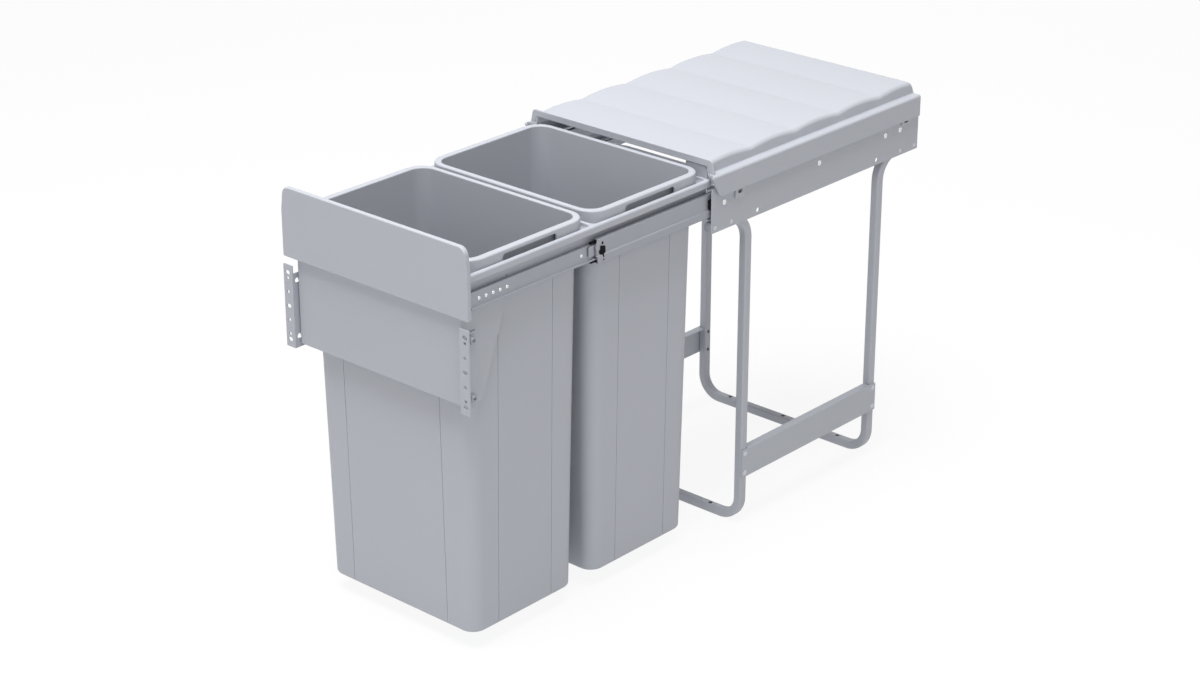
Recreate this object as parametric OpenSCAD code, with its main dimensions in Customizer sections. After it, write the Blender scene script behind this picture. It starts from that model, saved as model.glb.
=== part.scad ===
// Pull-out bin frame for a narrow base cabinet, drawn fully pulled out.
// +X is to the right seen from the front, +Y runs into the cabinet, +Z is up.
// The origin lies on the cabinet floor, midway between the two bent legs.

/* [Cover] */
// Overall width across the skirts of the cover
cover_w = 262; // [240:1:400]
// Wall of the moulded cover
cover_t = 2.5; // [1.5:0.1:3]
// Height of the cover's side skirts
skirt_h = 24; // [21:0.5:30]
// How far the front edge of a skirt slants back
skirt_slant = 14; // [4:0.5:20]
// Gap between a skirt and the side plate that it hangs over
skirt_gap = 1.2; // [0.5:0.1:3]
// Width of the flat ledge beside the raised top
ledge_w = 10; // [8:0.5:11]
// Number of arches along the raised top
arch_n = 5; // [5:2:9]
// Distance from one valley of the top to the next
arch_pitch = 73.8; // [73:0.1:80]
// Rise of each arch above the valleys
arch_rise = 2; // [1.5:0.1:4]
// How far the row of arches is set back from the middle of the top
arch_shift = 3.7; // [0:0.1:4]
// Radius of the raised top's rear edge
rear_round = 8; // [4:0.5:9]
// How far the front frame stands ahead of the raised top
frame_lead = 0.5; // [0:0.1:0.9]
// Height of the front frame above the valleys
frame_rise = 4; // [2.5:0.1:6]
// How far the front frame's upper corners stand out past the raised top
frame_out = 3.2; // [1:0.1:5]
// How far the front frame's sides lean out down to the ledges
frame_lean = 3.8; // [0:0.1:4.5]
// Thickness of the front frame's sides
frame_w = 5.4; // [4:0.1:6]
// Radius of the front frame's outer corners
frame_r = 2.5; // [1:0.1:3]
// Thickness of the frame that edges the front and rear of the top
lip_d = 4; // [3:0.5:8]
// Width of that frame at its two sides
lip_side_w = 4; // [3:0.1:4.4]
// Gap from a bin's rim up to that frame
lip_clear = 5.2; // [2:0.1:5.2]
// Gap from a bin's rim up to the underside of the valleys
valley_clear = 5.2; // [5:0.1:8]
// Gap from the carrier's ridge up to the underside of the ledge
ledge_clear = 4.1; // [1:0.1:6]
// Set-back of the cover's front edge from the plates' front edge
cover_front_inset = 2.5; // [1:0.1:5]
// How far the ledges reach ahead of the raised top
ledge_lead = 3; // [1:0.1:3]
// How far the skirts reach ahead of the raised top
skirt_lead = 7.5; // [4:0.1:8]
// Set-back of the cover's rear edge from the plates' rear edge
cover_rear_inset = 3; // [0:0.1:8]
// Width of a cover clip
clip_w = 14; // [8:0.5:20]
// Thickness of a cover clip
clip_t = 2; // [1.4:0.1:2.6]
// How far the front clip hangs below the skirt
clip_front_drop = 10.5; // [8:0.5:14]
// How far the rear clip hangs below the skirt
clip_rear_drop = 5.5; // [5:0.1:6]
// Middle of the front clip, from the plate's front edge
clip_front = 43; // [36:1:80]
// Middle of the rear clip, from the plate's rear edge
clip_rear = 26; // [12:1:40]
// Width of the nub that snaps into the plate
nub_w = 6; // [4:0.5:8]
// Height of that nub
nub_h = 3; // [2:0.5:4]
// Play of a clip and its nub in the plate
clip_fit = 0.2; // [0.1:0.05:0.4]
// Length of each pad that rests on the top edge of a plate
pad_len = 10; // [6:1:20]

/* [Side plates] */
// Thickness of the side plates
plate_t = 1.5; // [1.2:0.1:2.5]
// Height of the plates' lower edge above the floor
plate_z = 356.5; // [330:0.5:460]
// How far a plate passes the outer rail at each end
plate_over = 4; // [2:0.5:12]
// How far a plate's top edge stands above the outer rail
plate_margin = 0.5; // [0:0.1:3]
// Diameter of the cabinet screw holes in a plate
plate_hole_d = 5; // [4:0.1:6]
// Distance between those two holes
plate_hole_pitch = 207; // [150:1:240]
// Height of those holes above the plate's lower edge
plate_hole_rise = 5.7; // [4:0.1:8]
// Diameter of a weld dimple
dimple_d = 4; // [3:0.1:6]
// Depth of a weld dimple
dimple_depth = 0.4; // [0.2:0.05:0.6]

/* [Legs] */
// Side of the square leg tube
tube_w = 10; // [8:0.5:16]
// Wall of the leg tube
tube_wall = 1.2; // [0.8:0.1:2]
// Corner radius of the leg tube
tube_r = 2; // [1.4:0.1:3]
// Distance between the two legs
leg_pitch = 230; // [200:1:250]
// Centre-line radius of the upper bends
bend_top_r = 28; // [14:1:34]
// Centre-line radius of the lower bends
bend_foot_r = 25; // [16:1:40]
// Set-back of a leg's end from the plate's end
leg_end_inset = 2; // [0:0.5:8]
// Gap between a leg and the front plate that passes inside it
leg_clear = 0.5; // [0.3:0.1:2]
// Diameter of the floor screw holes
foot_hole_d = 5; // [4:0.1:6]
// Distance from the middle floor hole to an outer one
foot_hole_pitch = 80; // [60:1:85]

/* [Stretchers] */
// Height of the stretchers
stretcher_h = 33; // [24:0.5:50]
// Thickness of the stretchers
stretcher_t = 1.5; // [1:0.1:2.5]
// Height of a stretcher's lower edge above the floor
stretcher_z = 56.5; // [40:0.5:120]
// Width of the flange turned in along the top
stretcher_flange = 9.5; // [6:0.5:14]
// Gap between that flange and the legs
stretcher_fit = 0.5; // [0.2:0.1:2]
// Distance between the two rivets at a stretcher's end
stretcher_rivet_pitch = 23; // [10:0.5:26]

/* [Slides] */
// Length of each slide rail
slide_len = 350; // [330:1:380]
// Height of the outer rail
outer_h = 35.2; // [34:0.1:42]
// Height of the middle rail
middle_h = 25; // [24:0.1:26.5]
// Height of the inner rail
inner_h = 17; // [15.5:0.1:18]
// Sheet thickness of the rails
rail_t = 1.2; // [1:0.05:1.4]
// Gap between the webs of the outer and middle rails
web_gap = 0.4; // [0.3:0.05:0.8]
// Gap between a rail's flange and the web across from it
flange_gap = 1; // [0.6:0.1:1.4]
// Width of the lip that keeps the balls in the outer rail
lip_h = 1.2; // [0.6:0.1:1.6]
// Gap between that lip and the plane of the inner rail's web
lip_gap = 0.4; // [0.3:0.05:0.8]
// Gap between the outer rail and the leg under it
rail_leg_gap = 2.3; // [1:0.1:6]
// How much shorter the travel is than the rail
travel_short = 2; // [2:0.5:10]
// Length of a ball cage
cage_len = 160; // [120:1:164]
// Thickness of a ball cage
cage_t = 0.9; // [0.6:0.1:1.2]
// Number of balls in each row of a cage
ball_n = 6; // [3:1:9]
// Running play of a ball in its race and in its cage
ball_play = 0.15; // [0.08:0.01:0.2]
// Width of a cage strip beyond the ball on each side
cage_edge = 0.6; // [0.4:0.05:0.8]
// Height of the buffer at the front of the outer rail
bumper_h = 11; // [8:0.5:16]
// How far the buffer stands out past the side plate
bumper_out = 1.5; // [0.5:0.1:1.6]
// Play between the buffer and the middle rail
bumper_fit = 0.3; // [0.2:0.05:0.4]
// Length of the catch at the front of the middle rail
catch_len = 8; // [5:0.5:12]
// Height of the catch
catch_h = 14; // [8:0.5:16]
// Thickness of the catch
catch_t = 1.9; // [1.4:0.05:2]
// Distance from the front of the middle rail to the catch
catch_inset = 4; // [3:0.5:10]
// Play of the catch in its window
catch_fit = 0.1; // [0.05:0.01:0.2]
// Distance from the front of the outer rail to its first rivet
rail_rivet_front = 16; // [10:0.5:24]
// Distance from the rear of the outer rail to its last rivet
rail_rivet_rear = 30; // [26:0.5:44]
// Distance between the last two rivets of the outer rail
rail_rivet_step = 27; // [12:0.5:40]

/* [Rivets and screws] */
// Shank diameter of the rivets
rivet_d = 4; // [3:0.1:4.6]
// Head diameter of the rivets
rivet_head_d = 6; // [5:0.1:7]
// Head height of the rivets
rivet_head_h = 0.9; // [0.5:0.05:1]
// Shank diameter of the rivets in the inner rails
small_rivet_d = 3; // [2.4:0.1:3.4]
// Head diameter of the rivets in the inner rails
small_head_d = 4.6; // [3.6:0.1:5]
// Pitch of the five rivets at the front of an inner rail
small_rivet_pitch = 10; // [8:0.1:10.4]
// First of those rivets, from the front plate's face
small_rivet_start = 14.4; // [8:0.1:15]
// Height of those rivets above the middle of the slide
small_rivet_rise = 2.6; // [0:0.1:3]
// Rivet in the middle of an inner rail, from the front plate's face
mid_rivet_back = 158.4; // [150:0.1:166]
// Last rivet of an inner rail, from the carrier's rear end
end_rivet_inset = 12; // [10:0.5:24]
// Play of a shank in its hole
shank_fit = 0.05; // [0.02:0.01:0.15]
// Shank diameter of the screws
screw_d = 4.4; // [3.5:0.1:5]
// Head diameter of the screws
screw_head_d = 8; // [6.5:0.1:9]
// Head height of the bracket screws
screw_head_h = 2.8; // [2:0.1:3.5]
// Outer diameter of the washers
washer_d = 10; // [8.5:0.1:11]
// Thickness of the washers
washer_t = 1; // [0.8:0.1:1.4]
// Head height of the screws behind the front panel
panel_head_h = 1.6; // [1.2:0.1:1.9]
// Distance from the middle to the inner pair of panel screws
panel_screw_near = 30; // [20:1:45]
// Distance from the middle to the outer pair of panel screws
panel_screw_far = 80; // [60:1:82]

/* [Carrier] */
// Wall of the carrier frame
ring_t = 2.3; // [1.8:0.1:3]
// Gap between the carrier's ridge and the outer rail that it passes over
ridge_gap = 1.6; // [0.8:0.1:4]
// Height of the carrier's ridge
ridge_h = 7.8; // [6.5:0.1:12]
// Width of the ridge along the sides
ridge_side_w = 5; // [2:0.1:6]
// Width of the ridge across the front and rear
ridge_end_w = 4.8; // [3.5:0.1:7]
// How deep the bins' rims sit below the top of the ridge
rim_sink = 4.4; // [3:0.1:5.5]
// How far the carrier's wall reaches below the rail's lower edge
ring_drop = 1.9; // [0:0.1:4]
// Outer corner radius of the carrier's wall
ring_r = 6; // [4:0.5:8]
// How far the web under the cross bar hangs down
bar_drop = 10; // [4:0.5:16]

/* [Front plate and panel] */
// Sheet thickness of the front plate and the door brackets
sheet_t = 1.5; // [1:0.1:2]
// Bend radius at the front plate's corners
sheet_bend_r = 3; // [2.2:0.1:5]
// How far the front plate hangs below the middle of the slides
front_drop = 107.8; // [100:0.1:140]
// Length of the side wings at the rails
wing_len = 59.4; // [58:0.1:80]
// Length of the side wings at their lower edge
wing_foot = 23.4; // [20:0.1:30]
// Height of the small chamfer at the wing's lower corner
wing_chamfer_h = 7; // [4:0.5:12]
// Length of that chamfer
wing_chamfer_len = 4; // [2:0.5:8]
// Height of a wing's slanting edge's upper end below the slide's middle
wing_step = 11.4; // [10:0.1:16]
// How far the front plate's face stays ahead of the side plates when shut
front_lead = 1.4; // [1.2:0.1:6]
// Width of the front panel
panel_w = 255.5; // [240:0.5:300]
// Height of the front panel
panel_h = 74; // [66:0.5:110]
// How far the panel reaches below the middle of the slides
panel_drop = 15.4; // [14:0.1:30]
// Height of the panel's upright side edges
panel_side_h = 49; // [36:0.5:52]
// How far the side edges lean in towards the top
panel_lean = 3.2; // [1:0.1:8]
// Radius of the panel's top corners
panel_r = 9; // [5:0.5:12]
// Depth of the panel's rim
panel_d = 5.7; // [4.5:0.1:8]
// Wall of the moulded panel
panel_t = 2.5; // [2:0.1:3]
// Gap between the panel's rim and the front plate
panel_stand = 0.5; // [0.4:0.1:2]
// Diameter of the panel's screw bosses
boss_d = 9; // [8:0.1:12]

/* [Door brackets] */
// Height of a door bracket's flange
bracket_h = 88.5; // [84:0.5:110]
// Width of a door bracket's flange
bracket_flange = 12.9; // [11:0.1:18]
// Gap between the front panel and the brackets under it
bracket_gap = 8.2; // [6:0.1:16]
// How much lower the web is than the flange
bracket_step = 8.5; // [6.5:0.5:12]
// Length of a bracket's web
bracket_web = 21.5; // [20:0.5:24]
// How far the bracket's face lies ahead of the front plate
bracket_lead = 6.1; // [5:0.1:12]
// Play between a bracket and the wing or the washer beside it
bracket_fit = 0.2; // [0.1:0.05:0.5]
// Length of the slots in a bracket's web, between the centres of their ends
slot_run = 8.5; // [5:0.1:9]
// Distance from the front plate's face back to the bracket screws
bracket_screw_back = 8.4; // [6:0.1:10]
// How far the pair of bracket screws lies below the middle of the bracket
bracket_screw_drop = 2.2; // [0:0.1:6]
// Distance between the two bracket screws
bracket_screw_pitch = 60; // [50:0.5:64]
// Play of a bracket screw in its slot
slot_fit = 0.4; // [0.2:0.05:0.8]
// Diameter of the round door screw holes
door_hole_d = 3.6; // [3:0.1:4.5]
// Pitch of the door screw holes
door_hole_pitch = 15; // [14:0.5:16]
// Height of the door slots
door_slot_h = 4.2; // [3.4:0.1:4.6]
// Length of the door slots
door_slot_len = 6.2; // [5:0.1:8]
// Distance from the middle slot to the outer slots
door_slot_pitch = 36; // [35:0.5:38]

/* [Bins] */
// Length of a bin's body at the carrier
bin_len = 161; // [140:1:162]
// Height of a bin
bin_h = 405; // [340:1:410]
// Wall of a bin
bin_wall = 2; // [1.5:0.1:3]
// Floor of a bin
bin_floor = 2.5; // [2:0.1:4]
// Corner radius of a bin at the carrier
bin_r = 18; // [12:1:28]
// Corner radius of a bin at its foot
bin_foot_r = 16; // [10:1:26]
// Draft angle of a bin's walls, in degrees
bin_draft = 0.92; // [0.4:0.01:1.2]
// Gap between a bin and the carrier's side wall
bin_side_gap = 3; // [2:0.1:6]
// Play of a bin in the carrier's openings
bin_fit = 0.6; // [0.4:0.05:1]
// Play between a bin's rim and the carrier's ridge
rim_fit = 0.6; // [0.4:0.05:1]
// Gap under a bin's rim
rim_seat = 0.2; // [0.1:0.05:0.4]
// How far a bin's rim stands out at its sides
rim_side = 6; // [4:0.1:6.5]
// How far a bin's rim stands out at its front and rear
rim_end = 4; // [3:0.1:5]
// Height of a bin's rim
rim_h = 14; // [11:0.5:18]
// Thickness of a bin's rim
rim_t = 2; // [1.4:0.1:2.4]
// Gap between the rims of the two bins
rim_gap = 5.7; // [4:0.1:14]
// Length of the hand slot in each side of a rim
hand_len = 75; // [60:1:90]
// Height of the hand slot
hand_h = 10; // [6:0.5:10.5]
// Width of the raised field on a bin's sides
field_side_w = 76; // [50:1:90]
// Width of the raised field on a bin's front and rear
field_front_w = 134; // [100:1:150]
// Height of the raised fields above the wall
field_t = 0.5; // [0.3:0.05:0.6]
// Gap between a raised field and the carrier above it
field_gap = 3; // [2:0.5:10]

/* [Hidden] */
$fn = 48;
EPS = 0.01;
silver_grey = [0.69, 0.70, 0.73];
zinc = [0.60, 0.61, 0.64];
bright = [0.82, 0.82, 0.84];
black = [0.06, 0.06, 0.07];

// Stack of pieces from the cover's skirt in to the bins
cover_x = cover_w / 2;
top_x = cover_x - ledge_w;
plate_x = cover_x - cover_t - skirt_gap;
rail_x = plate_x - plate_t;
wing_x = rail_x - tube_w - leg_clear;
leg_x = rail_x - tube_w / 2;
ring_in_x = wing_x - ring_t;
bin_x = ring_in_x - bin_side_gap;
rim_x = bin_x + rim_side;
ridge_in_x = rim_x + rim_fit;
ridge_x = ridge_in_x + ridge_side_w;

// Webs and flange ends of the three rails
middle_web_x = rail_x - rail_t - web_gap;
middle_in_x = middle_web_x - rail_t;
inner_web_x = wing_x + rail_t;
inner_end_x = middle_in_x - flange_gap;
middle_end_x = inner_web_x + flange_gap;
outer_end_x = inner_web_x + lip_gap;
outer_gap = (outer_h - middle_h) / 2 - rail_t;
inner_gap = (middle_h - inner_h) / 2 - rail_t;
outer_ball_d = outer_gap - 2 * ball_play;
inner_ball_d = inner_gap - 2 * ball_play;
outer_ball_x = (outer_end_x + rail_t + rail_x - rail_t) / 2;
inner_ball_x = (inner_web_x + middle_in_x) / 2;
outer_ball_z = (middle_h + outer_gap) / 2;
inner_ball_z = (inner_h + inner_gap) / 2;

// Heights
slide_z = plate_z + tube_w + rail_leg_gap + outer_h / 2;
plate_top = slide_z + outer_h / 2 + plate_margin;
ridge_z = slide_z + outer_h / 2 + ridge_gap;
ridge_top = ridge_z + ridge_h;
seat_z = ridge_top - rim_sink;
rim_z = seat_z + rim_seat;
rim_top = rim_z + rim_h;
bin_z = rim_top - bin_h;
ring_z = slide_z - inner_h / 2 - ring_drop;
ledge_z = ridge_top + ledge_clear + cover_t;
valley_z = rim_top + valley_clear + cover_t;
lip_z = rim_top + lip_clear;
skirt_z = ledge_z - skirt_h;
wing_top = slide_z + inner_h / 2 + rail_t + rail_t;
front_z = slide_z - front_drop;
front_top = ridge_z - ridge_gap;
panel_z = slide_z - panel_drop;
bracket_z = panel_z - bracket_gap - bracket_h;
bracket_mid_z = bracket_z + bracket_h / 2;

// Places along the slide, with the carrier pulled out
plate_len = slide_len + 2 * plate_over;
travel = slide_len - travel_short;
middle_y = -travel / 2;
inner_y = -travel;
outer_cage_y = -travel / 4;
inner_cage_y = -travel * 3 / 4;
front_y = -plate_len / 2 - front_lead - travel;
ring_y = front_y + sheet_t;
rim_len = bin_len + 2 * rim_end;
ring_len = 2 * rim_len + rim_gap + 2 * (rim_fit + ridge_end_w);
ring_mid_y = ring_y + ring_len / 2;
bin_pitch = rim_len + rim_gap;
front_bin_y = ring_mid_y - bin_pitch / 2;
rear_bin_y = ring_mid_y + bin_pitch / 2;
panel_y = front_y - panel_stand - panel_d;
panel_back_y = front_y - panel_stand;
bracket_y = front_y - bracket_lead;
screw_y = front_y + bracket_screw_back;
cover_y0 = -plate_len / 2 + cover_front_inset;
cover_y1 = plate_len / 2 - cover_rear_inset;
cover_len = cover_y1 - cover_y0;
skirt_y0 = cover_y0 - skirt_lead;
clips = [[clip_front - plate_len / 2, clip_front_drop], [plate_len / 2 - clip_rear, clip_rear_drop]];
leg_y = leg_pitch / 2;
leg_end_y = plate_len / 2 - leg_end_inset;

// Bin walls draw in towards the foot
body_h = seat_z - bin_z;
bin_draw = body_h * tan(bin_draft);
arch_y0 = (cover_y0 + cover_y1 - arch_n * arch_pitch) / 2 + arch_shift;
lip_in_x = top_x - lip_side_w;
arch_r = (arch_pitch * arch_pitch / 4 + arch_rise * arch_rise) / (2 * arch_rise);

// Rivets that hold an outer rail to its plate, and an inner rail to the carrier
rear_rivet_y = slide_len / 2 - rail_rivet_rear;
plate_rivet_ys = [rail_rivet_front - slide_len / 2, 0, rear_rivet_y - rail_rivet_step, rear_rivet_y];
wing_rivet_ys = [for (i = [0:4]) front_y + small_rivet_start + i * small_rivet_pitch];
ring_rivet_ys = [front_y + mid_rivet_back, ring_y + ring_len - end_rivet_inset];
small_rivet_z = slide_z + small_rivet_rise;
panel_screw_xs = [-panel_screw_far, -panel_screw_near, panel_screw_near, panel_screw_far];
bracket_screw_zs = [for (s = [-1, 1]) bracket_mid_z - bracket_screw_drop + s * bracket_screw_pitch / 2];

// Helpers

// Draws a right-hand piece, or its mirror image on the left
module on_side(s) {
    mirror([s < 0 ? 1 : 0, 0, 0]) children();
}

module both_sides() {
    for (s = [-1, 1])
        on_side(s) children();
}

// A box given by its two corners
module block(low, high) {
    translate(low) cube(high - low);
}

module rounded_rect(w, l, r) {
    square([w - 2 * r, l], center = true);
    square([w, l - 2 * r], center = true);
    for (sx = [-1, 1], sy = [-1, 1])
        translate([sx * (w / 2 - r), sy * (l / 2 - r)]) circle(r);
}

// Extrudes an outline drawn in X and Z along Y, from y0 to y1
module along_y(y0, y1) {
    translate([0, y1, 0]) rotate([90, 0, 0]) linear_extrude(y1 - y0) children();
}

// Extrudes an outline drawn in Y and Z along X, from x0 to x1
module along_x(x0, x1) {
    translate([x0, 0, 0]) rotate([90, 0, 90]) linear_extrude(x1 - x0) children();
}

// A cylinder along X
module rod_x(x0, x1, d, y, z) {
    translate([x0, y, z]) rotate([0, 90, 0]) cylinder(h = x1 - x0, d = d);
}

// A cylinder along Y
module rod_y(y0, y1, d, x, z) {
    translate([x, y1, z]) rotate([90, 0, 0]) cylinder(h = y1 - y0, d = d);
}

// Side plates

module side_plate() {
    difference() {
        block([rail_x, -plate_len / 2, plate_z], [plate_x, plate_len / 2, plate_top]);
        for (y = plate_rivet_ys)
            rod_x(rail_x - EPS, plate_x + EPS, rivet_d + 2 * shank_fit, y, slide_z);
        for (sy = [-1, 1])
            rod_x(rail_x - 1, plate_x + 1, plate_hole_d, sy * plate_hole_pitch / 2, plate_z + plate_hole_rise);
        for (clip = clips) {
            y = clip[0];
            z = skirt_z - clip[1] / 2;
            block([rail_x - 1, y - nub_w / 2 - clip_fit, z - nub_h / 2 - clip_fit],
                  [plate_x + 1, y + nub_w / 2 + clip_fit, z + nub_h / 2 + clip_fit]);
        }
        for (sy = [-1, 1], inset = [leg_end_inset + dimple_d, plate_len / 2 - leg_y - bend_top_r - dimple_d])
            rod_x(plate_x - dimple_depth, plate_x + 1, dimple_d,
                  sy * (plate_len / 2 - inset), plate_z + tube_w / 2);
    }
}

module side_plate_left() {
    color(silver_grey) on_side(-1) side_plate();
}

module side_plate_right() {
    color(silver_grey) on_side(1) side_plate();
}

// Legs: one square tube bent into a foot bar, two uprights and two ends under the plates

module tube_section() {
    bore = tube_w - 2 * tube_wall;
    difference() {
        rounded_rect(tube_w, tube_w, tube_r);
        rounded_rect(bore, bore, max(tube_r - tube_wall, 0.1));
    }
}

module leg_half() {
    foot_z = tube_w / 2;
    end_z = plate_z + tube_w / 2;
    rotate([90, 0, 90]) linear_extrude(leg_x - bend_foot_r) translate([-leg_y, foot_z]) tube_section();
    translate([leg_x - bend_foot_r, -leg_y, foot_z + bend_foot_r])
        rotate([90, 0, 0]) rotate([0, 0, -90])
            rotate_extrude(angle = 90) translate([bend_foot_r, 0]) tube_section();
    translate([leg_x, -leg_y, foot_z + bend_foot_r])
        linear_extrude(end_z - bend_top_r - foot_z - bend_foot_r) tube_section();
    translate([leg_x, -leg_y - bend_top_r, end_z - bend_top_r])
        rotate([90, 0, 90]) rotate_extrude(angle = 90) translate([bend_top_r, 0]) tube_section();
    along_y(-leg_end_y, -leg_y - bend_top_r) translate([leg_x, end_z]) tube_section();
}

module leg() {
    difference() {
        both_sides() leg_half();
        for (x = [-foot_hole_pitch, 0, foot_hole_pitch])
            translate([x, -leg_y, -1]) cylinder(h = tube_w + 2, d = foot_hole_d);
        both_sides() for (z = stretcher_rivet_zs())
            rod_x(rail_x - tube_w - 1, rail_x + 1, rivet_d + 2 * shank_fit, -leg_y, z);
    }
}

module front_leg() {
    color(silver_grey) leg();
}

module rear_leg() {
    color(silver_grey) mirror([0, 1, 0]) leg();
}

// Stretchers between the legs, with their rivets

function stretcher_rivet_zs() =
    [for (s = [-1, 1]) stretcher_z + stretcher_h / 2 + s * stretcher_rivet_pitch / 2];

module stretcher() {
    half = leg_y + tube_w / 2;
    bay = leg_y - tube_w / 2 - stretcher_fit;
    out_x = rail_x + stretcher_t;
    top = stretcher_z + stretcher_h;
    difference() {
        union() {
            block([rail_x, -half, stretcher_z], [out_x, half, top]);
            block([out_x - stretcher_flange, -bay, top - stretcher_t], [out_x, bay, top]);
        }
        for (sy = [-1, 1], z = stretcher_rivet_zs())
            rod_x(rail_x - 1, out_x + 1, rivet_d + 2 * shank_fit, sy * leg_y, z);
    }
}

module stretcher_left() {
    color(silver_grey) on_side(-1) stretcher();
}

module stretcher_right() {
    color(silver_grey) on_side(1) stretcher();
}

// A rivet along X, with its head on the outer side
module rivet(x0, face_x, d, head_d, y, z) {
    rod_x(x0, face_x + EPS, d, y, z);
    rod_x(face_x, face_x + rivet_head_h, head_d, y, z);
}

module stretcher_rivets() {
    color(bright) both_sides()
        for (sy = [-1, 1], z = stretcher_rivet_zs())
            rivet(rail_x - tube_wall, rail_x + stretcher_t, rivet_d, rivet_head_d, sy * leg_y, z);
}

module plate_rivets() {
    color(bright) both_sides()
        for (y = plate_rivet_ys)
            rivet(rail_x - rail_t, plate_x, rivet_d, rivet_head_d, y, slide_z);
}

// Cover with an arched top, side skirts, clips and pads

// Solid under a row of arches, from a base up to the arches
module arched_block(half, r, base) {
    for (i = [0:arch_n - 1]) {
        y0 = arch_y0 + i * arch_pitch;
        intersection() {
            rod_x(-half, half, 2 * r, y0 + arch_pitch / 2, valley_z + arch_rise - arch_r);
            block([-half, max(y0, cover_y0), base],
                  [half, min(y0 + arch_pitch, cover_y1), valley_z + 2 * arch_rise]);
        }
    }
}

// Lip that edges the raised top at the rear
module rear_lip() {
    y0 = cover_y1 - lip_d;
    difference() {
        block([-top_x, y0, ledge_z - cover_t], [top_x, cover_y1, valley_z + 2 * arch_rise]);
        block([-lip_in_x, y0 - 1, ledge_z - 2 * cover_t], [lip_in_x, cover_y1 + 1, lip_z]);
    }
}

// Frame that edges the raised top at the front, with sides that lean out to the ledges
module front_frame() {
    half = top_x + frame_out;
    foot = half + frame_lean;
    top = valley_z + frame_rise;
    base = ledge_z - cover_t;
    along_y(cover_y0 - frame_lead, cover_y0 + lip_d / 2) difference() {
        offset(r = frame_r) offset(delta = -frame_r)
            polygon([[-foot, base], [foot, base], [half, top], [-half, top]]);
        polygon([
            [frame_w - foot, base - 1], [foot - frame_w, base - 1],
            [half - frame_w, lip_z], [frame_w - half, lip_z]
        ]);
    }
}

// Side view of the raised top, with its rear edge rounded down
module rear_rounding() {
    crest = valley_z + arch_rise;
    along_x(-top_x - 1, top_x + 1) hull() {
        translate([cover_y0 - 1, ledge_z - 2 * cover_t])
            square([cover_len + 1, crest - rear_round - ledge_z + 2 * cover_t]);
        translate([cover_y0 - 1, crest]) square([1, 1]);
        translate([cover_y1 - rear_round, crest - rear_round]) circle(r = rear_round);
    }
}

module arched_top() {
    difference() {
        intersection() {
            arched_block(top_x, arch_r, ledge_z - cover_t);
            rear_rounding();
        }
        arched_block(top_x - cover_t, arch_r - cover_t, ledge_z - 2 * cover_t);
    }
    intersection() {
        arched_block(top_x - cover_t / 2, arch_r - cover_t / 2, ledge_z - cover_t);
        rear_rounding();
        rear_lip();
    }
    front_frame();
}

// A clip that hangs from a skirt and snaps into a window in the plate
module cover_clip(y, drop) {
    x = plate_x + clip_fit;
    z = skirt_z - drop / 2;
    block([x, y - clip_w / 2, skirt_z - drop], [x + clip_t, y + clip_w / 2, skirt_z + cover_t]);
    block([rail_x + clip_fit, y - nub_w / 2, z - nub_h / 2], [x + clip_t / 2, y + nub_w / 2, z + nub_h / 2]);
}

module cover_side() {
    block([top_x - cover_t, cover_y0 - ledge_lead, ledge_z - cover_t], [cover_x, cover_y1, ledge_z]);
    along_x(cover_x - cover_t, cover_x) polygon([
        [skirt_y0, ledge_z], [skirt_y0 + skirt_slant, skirt_z],
        [cover_y1, skirt_z], [cover_y1, ledge_z]
    ]);
    for (clip = clips)
        cover_clip(clip[0], clip[1]);
    for (y = [clips[0][0], 0, clips[1][0]])
        block([rail_x, y - pad_len / 2, plate_top], [cover_x - cover_t / 2, y + pad_len / 2, ledge_z - cover_t / 2]);
}

module cover() {
    color([0.85, 0.86, 0.88]) union() {
        arched_top();
        both_sides() cover_side();
    }
}

// Ball slides: outer, middle and inner rails, ball cages, buffers and stops

// Upper half of a channel's outline, from the back of its web to the inside of its web
function channel_half(back, web_in, end, h) =
    [[back, h / 2], [end, h / 2], [end, h / 2 - rail_t], [web_in, h / 2 - rail_t]];

// The whole outline: the upper half and its mirror image
module channel(half) {
    n = len(half);
    polygon(concat(half, [for (k = [1:n]) [half[n - k][0], -half[n - k][1]]]));
}

module outer_rail_outline() {
    top = outer_h / 2;
    channel([
        [rail_x, top], [outer_end_x, top], [outer_end_x, top - rail_t - lip_h],
        [outer_end_x + rail_t, top - rail_t - lip_h], [outer_end_x + rail_t, top - rail_t],
        [rail_x - rail_t, top - rail_t]
    ]);
}

module outer_rail() {
    difference() {
        translate([0, 0, slide_z]) along_y(-slide_len / 2, slide_len / 2) outer_rail_outline();
        for (y = plate_rivet_ys)
            rod_x(rail_x - rail_t - 1, rail_x + 1, rivet_d + 2 * shank_fit, y, slide_z);
    }
}

module middle_rail() {
    catch_y = middle_y - slide_len / 2 + catch_inset;
    difference() {
        translate([0, middle_y, slide_z]) along_y(-slide_len / 2, slide_len / 2)
            channel(channel_half(middle_web_x, middle_in_x, middle_end_x, middle_h));
        block([middle_in_x - 1, catch_y - catch_fit, slide_z - catch_h / 2 - catch_fit],
              [middle_web_x + 1, catch_y + catch_len + catch_fit, slide_z + catch_h / 2 + catch_fit]);
    }
}

// Catch that fills a window in the web of a middle rail, near its front end
module rail_catch() {
    y0 = middle_y - slide_len / 2 + catch_inset;
    x1 = middle_web_x + catch_fit;
    block([x1 - catch_t, y0, slide_z - catch_h / 2], [x1, y0 + catch_len, slide_z + catch_h / 2]);
}

module inner_rail() {
    difference() {
        translate([0, inner_y, slide_z]) along_y(-slide_len / 2, slide_len / 2)
            channel(channel_half(wing_x, inner_web_x, inner_end_x, inner_h));
        for (y = concat(wing_rivet_ys, ring_rivet_ys))
            rod_x(wing_x - 1, inner_web_x + 1, small_rivet_d + 2 * shank_fit, y, small_rivet_z);
    }
}

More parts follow.
